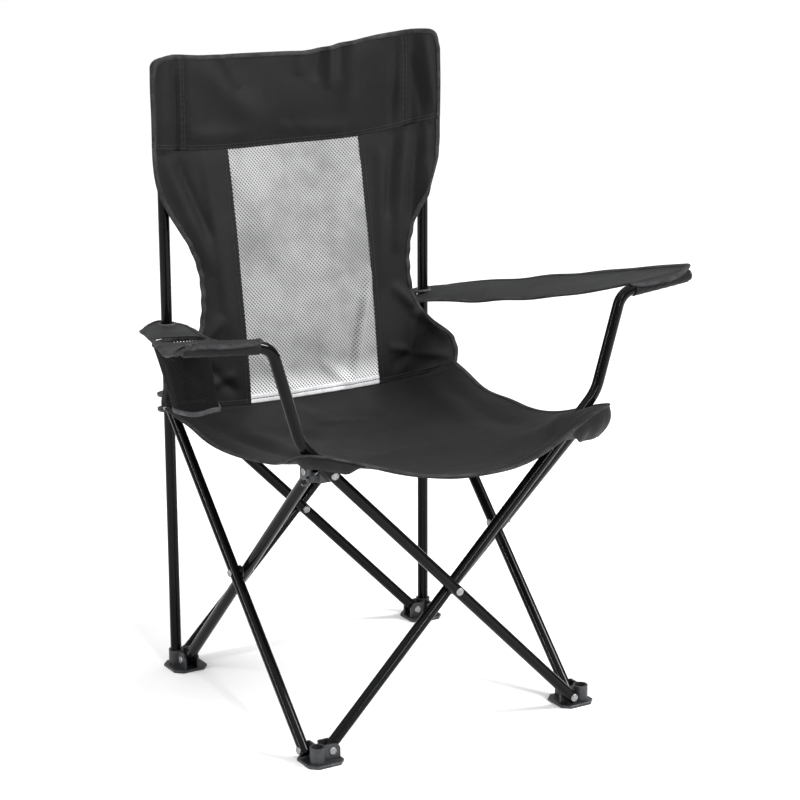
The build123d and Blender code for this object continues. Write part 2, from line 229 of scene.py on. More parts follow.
def ripple(a: Array, b: Array, size: float, seed: int) -> Array:
    """Gentle unevenness of hanging cloth: the mean of eight plane waves in seeded directions.

    Args:
        a: First flat coordinate, in millimetres.
        b: Second flat coordinate.
        size: Typical distance between crests.
        seed: Fixes the directions, lengths and phases.

    Returns:
        Values of about -1 to 1.
    """
    draw = np.random.default_rng(seed)
    waves = 8
    angle, phase = draw.uniform(0, math.pi, waves), draw.uniform(0, 2 * math.pi, waves)
    pitch = size * draw.uniform(0.7, 1.6, waves)
    wave = np.sin(2 * math.pi * (a[..., None] * np.cos(angle) + b[..., None] * np.sin(angle)) / pitch + phase)
    return wave.mean(axis=-1) * 2


def add_mesh(name: str, points: Array, faces: list, uv: Array | None = None, crease: float = 40) -> Piece:
    """Make a mesh object at the origin from points in metres.

    Its faces are turned round where the sum of a . (b x c) over its triangles, six times its volume, is
    below nothing.

    Args:
        name: The piece's name.
        points: One row for each vertex.
        faces: Lists of vertex numbers.
        uv: One pair for each vertex, in metres of cloth, or None.
        crease: Edges sharper than this many degrees are shaded as edges.

    Returns:
        The new object, linked to the scene, with its faces pointing outwards.
    """
    mesh = bpy.data.meshes.new(name)
    mesh.from_pydata(points.tolist(), [], faces)
    mesh.update()
    mesh.calc_loop_triangles()
    triangles = np.zeros(len(mesh.loop_triangles) * 3, np.int32)
    mesh.loop_triangles.foreach_get("vertices", triangles)
    corner = (points - points.mean(axis=0))[triangles.reshape(-1, 3)]
    volume = np.einsum("ij,ij->i", corner[:, 0], np.cross(corner[:, 1], corner[:, 2])).sum()
    if volume < 0:
        mesh.flip_normals()
    if uv is not None:
        layer = mesh.uv_layers.new(name="UVMap")
        loops = np.zeros(len(mesh.loops), np.int32)
        mesh.loops.foreach_get("vertex_index", loops)
        layer.data.foreach_set("uv", np.asarray(uv, np.float32)[loops].ravel())
    mesh.shade_smooth()
    mesh.set_sharp_from_angle(angle=math.radians(crease))
    piece = bpy.data.objects.new(name, mesh)
    bpy.context.scene.collection.objects.link(piece)
    return piece


def slab(name: str, grid: Array, thickness: float, uv: Array, keep: Array | None = None) -> Piece:
    """Closed sheet of cloth over a grid of points.

    Each point is moved half the thickness both ways along the grid's normal, which is the cross product of
    the differences along the columns and the rows. Walls join the two sides wherever a cell has no neighbour.

    Args:
        name: The piece's name.
        grid: Points in millimetres, shape (rows, columns, 3).
        thickness: Of the cloth, in millimetres.
        uv: Flat cloth coordinates in metres, shape (rows, columns, 2).
        keep: Which cells are cloth; the others are holes.

    Returns:
        The new object.
    """
    rows, cols = grid.shape[:2]
    normal = normals_of(grid)
    count = rows * cols
    points = np.concatenate([(grid + s * normal * thickness / 2).reshape(-1, 3) for s in (1, -1)])
    index = np.arange(count).reshape(rows, cols)
    cells = np.stack([index[:-1, :-1], index[:-1, 1:], index[1:, 1:], index[1:, :-1]], axis=-1)
    cells = cells[keep] if keep is not None else cells.reshape(-1, 4)
    starts, ends = cells.ravel(), np.roll(cells, -1, axis=1).ravel()
    rim = ~np.isin(starts * count + ends, ends * count + starts)
    i, j = starts[rim], ends[rim]
    walls = np.stack([j, i, i + count, j + count], axis=1)
    faces = np.concatenate([cells, cells[:, ::-1] + count, walls])
    used, renumbered = np.unique(faces, return_inverse=True)
    flat = np.concatenate([uv.reshape(-1, 2)] * 2)[used]
    return add_mesh(name, metres(points[used]), renumbered.reshape(faces.shape).tolist(), flat)


def swept(name: str, path: Array, across: Array, up: Array, profile: Array, ring: bool = False) -> Piece:
    """Closed bar with one profile carried along a path.

    A vertex is path + across * (profile's first) + up * (profile's second).

    Args:
        name: The piece's name.
        path: Points in millimetres.
        across: One unit vector for each point, the profile's first direction.
        up: The profile's second direction at each point.
        profile: Closed outline in millimetres, shape (m, 2).
        ring: Whether the path's last point joins its first.

    Returns:
        The new object.
    """
    n, m = len(path), len(profile)
    points = (path[:, None] + across[:, None] * profile[None, :, :1] + up[:, None] * profile[None, :, 1:])
    index = np.arange(n * m).reshape(n, m)
    here = index if ring else index[:-1]
    after = np.roll(index, -1, axis=0) if ring else index[1:]
    faces = np.stack([here, np.roll(here, -1, axis=1), np.roll(after, -1, axis=1), after], axis=-1)
    faces = faces.reshape(-1, 4).tolist()
    if not ring:
        faces += [index[0][::-1].tolist(), index[-1].tolist()]
    along = lengths_along(path) / 1000
    around = lengths_along(np.vstack([profile, profile[:1]]))[:-1] / 1000
    flat = np.stack(np.meshgrid(along, around, indexing="ij"), axis=-1).reshape(-1, 2)
    return add_mesh(name, metres(points.reshape(-1, 3)), faces, flat)


def tape_profile(width: float, thickness: float) -> Array:
    """Outline of binding tape folded over a hem.

    It is the flat oval |2 x / width|^4 + |2 y / thickness|^2.5 = 1,
    moved inwards until it just holds the hem.

    Args:
        width: How far the tape reaches over the cloth.
        thickness: Of the tape and the cloth in it.

    Returns:
        Sixteen points round the outline, in millimetres.
    """
    angle = np.linspace(0, 2 * math.pi, 16, endpoint=False)
    c, s = np.cos(angle), np.sin(angle)
    x = np.sign(c) * np.abs(c) ** 0.5 * width / 2 + width / 2 - thickness * 0.45
    return np.stack([x, np.sign(s) * np.abs(s) ** 0.8 * thickness / 2], axis=1)


@dataclass(frozen=True)
class Hem:
    """An even path along a sheet's edge, with the cloth's inward direction and normal at each point."""

    path: Array
    inward: Array
    normal: Array

    @classmethod
    def along(cls, edge: Array, facing: Array, middle: Array, count: int, ring: bool = False) -> "Hem":
        """Even out an edge and smooth its direction round corners.

        Args:
            edge: Points of the edge in order.
            facing: The cloth's normal at each of them.
            middle: A point well inside the sheet.
            count: How many points the path gets.
            ring: Whether the edge closes on itself.

        Returns:
            The hem.
        """
        if ring:
            edge, facing = np.vstack([edge, edge[:1]]), np.vstack([facing, facing[:1]])
        total = lengths_along(edge)
        places = np.linspace(0, total[-1], count, endpoint=not ring)
        normal = unit(resample(facing, places, total))
        path = resample(edge, places, total)
        reach = 4
        wide = np.pad(path, ((reach + 1, reach + 1), (0, 0)), "wrap" if ring else "edge")
        step = unit(wide[2:] - wide[:-2])
        kernel = np.ones(2 * reach + 1) / (2 * reach + 1)
        way = unit(np.stack([np.convolve(column, kernel, "valid") for column in step.T], axis=1))
        inward = unit(np.cross(way, normal))
        inward = inward * np.sign(np.sum(inward * (middle - path)))
        return cls(path, inward, normal)

    def tape(self, name: str, width: float, thickness: float, ring: bool = False) -> Piece:
        """Binding tape folded over the hem."""
        return swept(name, self.path, self.inward, self.normal, tape_profile(width, thickness), ring)


@dataclass
class Seams:
    """Collects rows of stitches and makes them as one piece for each body that they ride on."""

    pitch: float = 3.6
    length: float = 2.7
    radius: float = 0.36
    stations: tuple = ((-1.0, 0.25), (-0.8, 0.7), (0.0, 1.0), (0.8, 0.7), (1.0, 0.25))
    sides: int = 6
    rows: list = field(default_factory=list)

    def row(self, path: Array, normal: Array, lift: float) -> None:
        """Add a row of stitches along a path.

        Args:
            path: Points in millimetres.
            normal: Unit normal of the cloth at each point.
            lift: Height of the thread's middle above the path.
        """
        total = lengths_along(path)
        places = np.arange(self.pitch, total[-1] - self.pitch, self.pitch)
        thread = path + normal * lift
        middle = resample(thread, places)
        along = unit(resample(thread, places + 0.5) - middle)
        self.rows.append((middle, along, unit(resample(normal, places, total))))

    def build(self, name: str) -> Piece:
        """Make the stitches: each is a six-sided bead, widest in its middle as the stations say.

        Args:
            name: The piece's name.

        Returns:
            The new object.
        """
        middle, along, facing = (np.concatenate([r[i] for r in self.rows]) for i in range(3))
        side = unit(np.cross(along, facing))
        facing = np.cross(side, along)
        x, swell = np.array(self.stations).T
        count, sides = len(x), self.sides
        around = np.linspace(0, 2 * math.pi, sides, endpoint=False)
        r = self.radius * swell[:, None]
        local = np.stack([np.repeat(x[:, None] * self.length / 2, sides, 1), r * np.cos(around),
                          r * np.sin(around)], axis=-1).reshape(-1, 3)
        axes = np.stack([along, side, facing], axis=1)
        points = middle[:, None] + np.einsum("pk,nkj->npj", local, axes)
        index = np.arange(count * sides).reshape(count, sides)
        turned = np.roll(index, -1, axis=1)
        bead = np.stack([index[:-1], index[1:], turned[1:], turned[:-1]], axis=-1).reshape(-1, 4)
        start = (np.arange(len(middle)) * count * sides)[:, None, None]
        faces = (bead[None] + start).reshape(-1, 4).tolist()
        ends = np.stack([index[0], index[-1][::-1]])
        faces += (ends[None] + start).reshape(-1, sides).tolist()
        return add_mesh(name, metres(points.reshape(-1, 3)), faces, crease=70)


# ---------------------------------------------------------------------------------------------------------
# Finishes
# ---------------------------------------------------------------------------------------------------------

class Effect(Enum):
    """Shader groups that more than one finish uses."""

    WEAVE = "woven_threads"
    MOTTLE = "mottled_colour"


class Wiring:
    """Adds nodes to a tree and joins them, so that a finish reads as one short list."""

    def __init__(self, tree: bpy.types.NodeTree) -> None:
        """Keep the tree that the nodes go into."""
        self.tree = tree

    def add(self, kind: str, **settings: object) -> Node:
        """New node in the tree.

        Args:
            kind: The node's type.
            settings: Its plain settings by name.

        Returns:
            The node.
        """
        node = self.tree.nodes.new(kind)
        for key, value in settings.items():
            setattr(node, key, value)
        return node

    def join(self, source: Socket, target: Socket) -> None:
        """Link one socket to another."""
        self.tree.links.new(source, target)

    def sum(self, operation: str, first: object, second: object = None, third: object = None) -> Socket:
        """Math node on sockets or numbers.

        Args:
            operation: The node's operation.
            first: Socket or number.
            second: Socket, number or None.
            third: Socket, number or None.

        Returns:
            The node's output socket.
        """
        node = self.add("ShaderNodeMath", operation=operation)
        for place, value in enumerate((first, second, third)):
            if isinstance(value, Socket):
                self.join(value, node.inputs[place])
            elif value is not None:
                node.inputs[place].default_value = value
        return node.outputs[0]

    def blend(self, factor: Socket, first: object, second: object) -> Socket:
        """Colour mix of two colours or sockets by a factor.

        Args:
            factor: 0 gives the first, 1 the second.
            first: Colour or socket.
            second: Colour or socket.

        Returns:
            The mixed colour's socket.
        """
        node = self.add("ShaderNodeMix", data_type="RGBA")
        self.join(factor, node.inputs[0])
        for place, value in ((6, first), (7, second)):
            if isinstance(value, Socket):
                self.join(value, node.inputs[place])
            else:
                node.inputs[place].default_value = (*value, 1.0)
        return node.outputs[2]

    def ramp(self, value: Socket, low: float, high: float) -> Socket:
        """Smooth ramp of a value.

        Args:
            value: The socket to ramp.
            low: Value that gives 0.
            high: Value that gives 1.

        Returns:
            The ramp's socket.
        """
        node = self.add("ShaderNodeMapRange", interpolation_type="SMOOTHSTEP")
        self.join(value, node.inputs[0])
        node.inputs[1].default_value, node.inputs[2].default_value = low, high
        return node.outputs[0]

    def split(self, vector: Socket) -> tuple[Socket, Socket, Socket]:
        """The three numbers of a vector."""
        node = self.add("ShaderNodeSeparateXYZ")
        self.join(vector, node.inputs[0])
        return node.outputs[0], node.outputs[1], node.outputs[2]

    def turns(self, value: Socket, pitch: float) -> Socket:
        """A distance as an angle that goes once round in each pitch."""
        return self.sum("MULTIPLY", value, 2 * math.pi / pitch)


def effect_group(effect: Effect) -> bpy.types.NodeTree:
    """The shader group of an effect, built the first time it is asked for.

    WEAVE: height is half of 1 + sin(2 pi u / pitch) sin(2 pi v / pitch), threads passing over and under.
    MOTTLE: two sizes of noise, mixed into one value about 0.5.

    Args:
        effect: Which group.

    Returns:
        The group's node tree.
    """
    if effect.value in bpy.data.node_groups:
        return bpy.data.node_groups[effect.value]
    tree = bpy.data.node_groups.new(effect.value, "ShaderNodeTree")
    face = tree.interface
    face.new_socket(name="Vector", in_out="INPUT", socket_type="NodeSocketVector")
    size = face.new_socket(name="Size", in_out="INPUT", socket_type="NodeSocketFloat")
    size.default_value = 0.001
    face.new_socket(name="Value", in_out="OUTPUT", socket_type="NodeSocketFloat")
    w = Wiring(tree)
    start, end = w.add("NodeGroupInput"), w.add("NodeGroupOutput")
    if effect is Effect.WEAVE:
        waves = [w.sum("SINE", w.turns(w.sum("DIVIDE", way, start.outputs["Size"]), 1.0))
                 for way in w.split(start.outputs["Vector"])[:2]]
        product = w.sum("MULTIPLY", waves[0], waves[1])
        w.join(w.sum("MULTIPLY_ADD", product, 0.5, 0.5), end.inputs[0])
    else:
        coarse = w.sum("DIVIDE", 1.0, start.outputs["Size"])
        fine = w.sum("MULTIPLY", coarse, 4.3)
        noises = []
        for scale in (coarse, fine):
            noise = w.add("ShaderNodeTexNoise")
            noise.inputs["Detail"].default_value = 4.0
            w.join(start.outputs["Vector"], noise.inputs["Vector"])
            w.join(scale, noise.inputs["Scale"])
            noises.append(noise.outputs["Fac"])
        w.join(w.sum("MULTIPLY_ADD", noises[0], 0.65, w.sum("MULTIPLY", noises[1], 0.35)), end.inputs[0])
    return tree


class Finish:
    """A finish that wires itself into a new material the first time it is used."""

    name: str

    def material(self) -> bpy.types.Material:
        """The finish's material, made the first time it is asked for.

        Returns:
            The material.
        """
        if self.name in bpy.data.materials:
            return bpy.data.materials[self.name]
        made = bpy.data.materials.new(self.name)
        made.use_nodes = True
        shader = next(n for n in made.node_tree.nodes if n.type == "BSDF_PRINCIPLED")
        self.wire(Wiring(made.node_tree), shader)
        return made

    def wire(self, w: Wiring, shader: Node) -> None:
        """Add the finish's own nodes."""
        raise NotImplementedError

    def group(self, w: Wiring, effect: Effect, vector: Socket, size: float) -> Socket:
        """Place an effect's group.

        Args:
            w: The material's wiring.
            effect: Which effect.
            vector: The coordinates that it follows.
            size: Its pitch or patch size, in metres.

        Returns:
            The effect's value.
        """
        node = w.add("ShaderNodeGroup", node_tree=effect_group(effect))
        w.join(vector, node.inputs["Vector"])
        node.inputs["Size"].default_value = size
        return node.outputs["Value"]

    def mottle(self, w: Wiring, size: float) -> Socket:
        """Mottling of a patch size over the object's own coordinates."""
        return self.group(w, Effect.MOTTLE, w.add("ShaderNodeTexCoord").outputs["Object"], size)

    def cloth(self, w: Wiring) -> tuple[Socket, Socket, Socket]:
        """The cloth's own coordinates, and their two numbers."""
        flat = w.add("ShaderNodeTexCoord").outputs["UV"]
        return flat, *w.split(flat)[:2]

    def plain(self, shader: Node, **values: float) -> None:
        """Set constants on the shader's own sockets, whose names have a space for each underscore."""
        for key, value in values.items():
            shader.inputs[key.replace("_", " ")].default_value = value

    def bump(self, w: Wiring, shader: Node, height: Socket, depth: float, strength: float) -> None:
        """Raise the surface.

        Args:
            w: The material's wiring.
            shader: Its shader.
            height: 0 to 1 over the surface.
            depth: What 1 stands for, in metres.
            strength: Share of the effect.
        """
        node = w.add("ShaderNodeBump")
        node.inputs["Distance"].default_value = depth
        node.inputs["Strength"].default_value = strength
        w.join(height, node.inputs["Height"])
        w.join(node.outputs["Normal"], shader.inputs["Normal"])


@dataclass(frozen=True)
class Canvas(Finish):
    """Coated polyester canvas: fine plain weave, soft wear marks, a little sheen."""

    name: str = "charcoal_canvas"
    dark: Point = (0.0030, 0.0030, 0.0032)
    pale: Point = (0.0082, 0.0082, 0.0086)
    pitch: float = 0.0011
    patch: float = 0.16
    lint: float = 0.006
    roughness: float = 0.64

    def wire(self, w: Wiring, shader: Node) -> None:
        """Colour is 0.16 weave, 0.62 patches and 0.22 lint, from dark to pale; pale patches are smoother."""
        weave = self.group(w, Effect.WEAVE, self.cloth(w)[0], self.pitch)
        patches = w.ramp(self.mottle(w, self.patch), 0.3, 0.7)
        lint = w.ramp(self.mottle(w, self.lint), 0.35, 0.75)
        tone = w.sum("MULTIPLY_ADD", weave, 0.16, w.sum("MULTIPLY", patches, 0.62))
        tone = w.sum("MULTIPLY_ADD", lint, 0.22, tone)
        w.join(w.blend(tone, self.dark, self.pale), shader.inputs["Base Color"])
        w.join(w.sum("MULTIPLY_ADD", patches, -0.10, self.roughness), shader.inputs["Roughness"])
        self.plain(shader, Specular_IOR_Level=0.13, Sheen_Weight=0.02, Sheen_Roughness=0.5)
        self.bump(w, shader, weave, 0.00022, 0.55)


@dataclass(frozen=True)
class OpenMesh(Finish):
    """Warp-knitted mesh: rounded holes in rows that step half a pitch, between pale strands.

    Near the seat, in a band low in the cloth's height, the strands are painted paler and the holes darker:
    painted light and shade standing in for the light on the lower mesh.
    """

    name: str = "pale_mesh"
    strand: Point = (0.32, 0.323, 0.326)
    shade: Point = (0.215, 0.217, 0.219)
    hole: Point = (0.032, 0.032, 0.034)
    # Painted light: paler strands and darker holes for the lit band low on the mesh.
    painted_lit_strand: Point = (0.74, 0.74, 0.75)
    painted_lit_band_hole: Point = (0.02, 0.02, 0.022)
    pitch: float = 0.0051
    row: float = 0.0058
    gap: float = 0.42
    slant_share: float = 0.45
    patch: float = 0.11
    painted_lit_top: float = 0.448
    painted_lit_low: float = 0.408

    def wire(self, w: Wiring, shader: Node) -> None:
        """Holes stand where cos(U) cos(V) + slant_share cos(U + V) is above the gap value.

        U and V are the angles that go once round in a pitch across and in a row upwards.
        """
        _, across, upward = self.cloth(w)
        u, v = w.turns(across, self.pitch), w.turns(upward, self.row)
        lattice = w.sum("MULTIPLY", w.sum("COSINE", u), w.sum("COSINE", v))
        lattice = w.sum("MULTIPLY_ADD", w.sum("COSINE", w.sum("ADD", u, v)), self.slant_share, lattice)
        hole = w.ramp(lattice, self.gap - 0.2, self.gap + 0.35)
        strand = w.blend(w.ramp(self.mottle(w, self.patch), 0.38, 0.62), self.shade, self.strand)
        # Painted light: towards the bottom the strands are painted paler and the holes darker, standing in for
        # the light on the lower mesh.
        painted_lit_band = w.ramp(w.sum("MULTIPLY", upward, -1.0), -self.painted_lit_top, -self.painted_lit_low)
        strand = w.blend(painted_lit_band, strand, self.painted_lit_strand)
        dark = w.blend(painted_lit_band, self.hole, self.painted_lit_band_hole)
        w.join(w.blend(hole, strand, dark), shader.inputs["Base Color"])
        self.plain(shader, Roughness=0.55, Sheen_Weight=0.15)
        self.bump(w, shader, w.sum("SUBTRACT", 1.0, hole), 0.0006, 0.8)


@dataclass(frozen=True)
class HolderNet(Finish):
    """Black net of the cup holder: diamond openings that let the light through."""

    name: str = "black_net"
    thread: Point = (0.0030, 0.0030, 0.0032)
    knot: Point = (0.030, 0.030, 0.031)
    pitch: float = 0.0042
    gap: float = 0.34
    clear: float = 0.94

    def wire(self, w: Wiring, shader: Node) -> None:
        """Openings stand where the product of two cosines, across and down, is above the gap value."""
        _, across, upward = self.cloth(w)
        lattice = w.sum("MULTIPLY", w.sum("COSINE", w.turns(across, self.pitch)),
                        w.sum("COSINE", w.turns(upward, self.pitch)))
        opening = w.ramp(lattice, self.gap, self.gap + 0.1)
        knots = w.ramp(w.sum("MULTIPLY", lattice, -1.0), 0.55, 0.95)
        w.join(w.blend(knots, self.thread, self.knot), shader.inputs["Base Color"])
        w.join(w.sum("MULTIPLY_ADD", opening, -self.clear, 1.0), shader.inputs["Alpha"])
        self.plain(shader, Roughness=0.7, Specular_IOR_Level=0.08)
        self.bump(w, shader, w.sum("SUBTRACT", 1.0, opening), 0.0004, 0.7)


@dataclass(frozen=True)
class Tape(Finish):
    """Woven binding tape: ribs across its length, with worn patches between."""

    name: str = "binding_tape"
    dark: Point = (0.0050, 0.0050, 0.0054)
    pale: Point = (0.036, 0.036, 0.0385)
    rib: float = 0.0016
    patch: float = 0.02

    def wire(self, w: Wiring, shader: Node) -> None:
        """Ribs are a sine along the tape; colour is the worn patches and 0.14 of the ribs."""
        rib = w.sum("SINE", w.turns(self.cloth(w)[1], self.rib))
        tone = w.sum("MULTIPLY_ADD", rib, 0.14, w.ramp(self.mottle(w, self.patch), 0.3, 0.72))
        w.join(w.blend(tone, self.dark, self.pale), shader.inputs["Base Color"])
        self.plain(shader, Roughness=0.68, Specular_IOR_Level=0.2)
        self.bump(w, shader, rib, 0.00025, 0.6)


@dataclass(frozen=True)
class Lacquer(Finish):
    """Black powder coat on the tubes: glossy, faintly dimpled, scuffed here and there."""

    name: str = "black_tube_coat"
    colour: Point = (0.0026, 0.0026, 0.0029)
    scuffed: Point = (0.0055, 0.0055, 0.006)
    roughness: float = 0.12
    dimple: float = 0.0022
    scuff: float = 0.035

    def wire(self, w: Wiring, shader: Node) -> None:
        """Dimples and scuffs are two sizes of mottling; a scuff is paler and rougher."""
        dimples = self.mottle(w, self.dimple)
        worn = w.ramp(self.mottle(w, self.scuff), 0.56, 0.72)
        w.join(w.blend(worn, self.colour, self.scuffed), shader.inputs["Base Color"])
        w.join(w.sum("MULTIPLY_ADD", worn, 0.08, self.roughness), shader.inputs["Roughness"])
        self.plain(shader, IOR=1.2)
        self.bump(w, shader, dimples, 0.00008, 0.35)


@dataclass(frozen=True)
class Moulding(Finish):
    """Moulded plastic: fine grain, rubbed paler in patches."""

    name: str = "charcoal_moulding"
    colour: Point = (0.011, 0.0115, 0.013)
    rubbed: Point = (0.032, 0.034, 0.038)
    roughness: float = 0.42
    grain: float = 0.0012
    patch: float = 0.018

    def wire(self, w: Wiring, shader: Node) -> None:
        """Grain raises and roughens the surface, and the coarser mottling rubs it."""
        grain = self.mottle(w, self.grain)
        rubbed = w.ramp(self.mottle(w, self.patch), 0.42, 0.72)
        w.join(w.blend(rubbed, self.colour, self.rubbed), shader.inputs["Base Color"])
        w.join(w.sum("MULTIPLY_ADD", grain, 0.18, self.roughness - 0.09), shader.inputs["Roughness"])
        self.bump(w, shader, grain, 0.00012, 0.4)


@dataclass(frozen=True)
class PlatedSteel(Finish):
    """Zinc-plated rivet steel, dulled and spotted."""

    name: str = "plated_steel"
    bright: Point = (0.32, 0.32, 0.33)
    dull: Point = (0.16, 0.16, 0.165)
    spot: float = 0.003

    def wire(self, w: Wiring, shader: Node) -> None:
        """Dulling follows fine mottling."""
        spots = self.mottle(w, self.spot)
        w.join(w.blend(w.ramp(spots, 0.35, 0.7), self.bright, self.dull), shader.inputs["Base Color"])
        w.join(w.sum("MULTIPLY_ADD", spots, 0.3, 0.28), shader.inputs["Roughness"])
        self.plain(shader, Metallic=0.9)
        self.bump(w, shader, spots, 0.00006, 0.4)


@dataclass(frozen=True)
class Thread(Finish):
    """Sewing thread with a fine twist."""

    name: str = "dark_thread"
    colour: Point = (0.020, 0.020, 0.021)
    twist: float = 0.0007

    def wire(self, w: Wiring, shader: Node) -> None:
        """The twist is a fine weave over the object's coordinates that shades the thread."""
        twist = self.group(w, Effect.WEAVE, w.add("ShaderNodeTexCoord").outputs["Object"], self.twist)
        dim = tuple(0.6 * c for c in self.colour)
        w.join(w.blend(twist, dim, self.colour), shader.inputs["Base Color"])
        self.plain(shader, Roughness=0.6)


CANVAS = Canvas()
# Painted light: a paler copy of the same canvas for the armrest strips, standing in for the light on their tops;
# their sleeves keep the darker canvas.
ARM_CANVAS_PAINTED_LIT = Canvas(name="armrest_canvas_painted_lit", dark=(0.0074, 0.0077, 0.0082), pale=(0.0152, 0.0158, 0.0167))
SEAT_CANVAS = Canvas(name="seat_canvas", dark=(0.0036, 0.0036, 0.0038), pale=(0.0086, 0.0086, 0.0090))
MESH = OpenMesh()
NET = HolderNet()
TAPE = Tape()
NET_TAPE = Tape(name="holder_tape", dark=(0.03, 0.03, 0.032), pale=(0.085, 0.085, 0.09))
WHITE_TAPE = Tape(name="mesh_hem_tape", dark=(0.52, 0.52, 0.53), pale=(0.74, 0.74, 0.75), rib=0.0012)
LACQUER = Lacquer()
MOULDING = Moulding()
PLUG = Moulding(name="black_plug", colour=(0.012, 0.012, 0.013), rubbed=(0.03, 0.03, 0.032), roughness=0.35)
STEEL = PlatedSteel()
THREAD = Thread()
GREY_THREAD = Thread(name="grey_thread", colour=(0.20, 0.20, 0.21))


# ---------------------------------------------------------------------------------------------------------
# Riding and dressing
# ---------------------------------------------------------------------------------------------------------

@dataclass(frozen=True)
class Ride:
    """How a soft piece follows the frame: the body it rides on, and how it draws together in the fold."""

    body: str
    axis: Point
    anchor: Point
    keep: float


def dress(piece: Piece, finish: Finish, ride: Ride) -> Piece:
    """Give a piece its finish, body and material slot.

    Args:
        piece: The finished mesh.
        finish: What it is made of.
        ride: How it follows the frame.

    Returns:
        The same piece.
    """
    piece.data.materials.clear()
    piece.data.materials.append(finish.material())
    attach(piece, ride.body)
    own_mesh(piece)
    LOG.info("%s: %d vertices, rides %s", piece.name, len(piece.data.vertices), ride.body)
    return piece


FOLDED_SHARE = 0.2
FOLDED_ARM_SHARE = 0.24
BACK_RIDE, SEAT_REAR_RIDE, SEAT_FRONT_RIDE = (
    Ride(body, (1, 0, 0), (-MEASURES.half / 1000, 0, 0), FOLDED_SHARE)
    for body in ("rear_left_stand", "seat_rear_half", "seat_front_half"))


@dataclass
class FrameFinishes:
    """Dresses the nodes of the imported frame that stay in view."""

    by_slot: dict = field(default_factory=lambda: {
        "frame_tube": LACQUER, "moulding": MOULDING, "plug": PLUG, "rivet": STEEL, "spacer": PLUG})

    def build(self) -> None:
        """Assign each hard node's finish to its material slots."""
        slots = {s["node"]: s.get("material_slot") for s in frame["record"]["subparts"]}
        for node, piece in frame["nodes"].items():
            finish = self.by_slot.get(slots.get(node))
            if finish is None:
                continue
            material = finish.material()
            if not piece.material_slots:
                piece.data.materials.append(material)
            for place in piece.material_slots:
                place.material = material
            LOG.info("%s: %s", node, finish.name)


# ---------------------------------------------------------------------------------------------------------
# Seat
# ---------------------------------------------------------------------------------------------------------

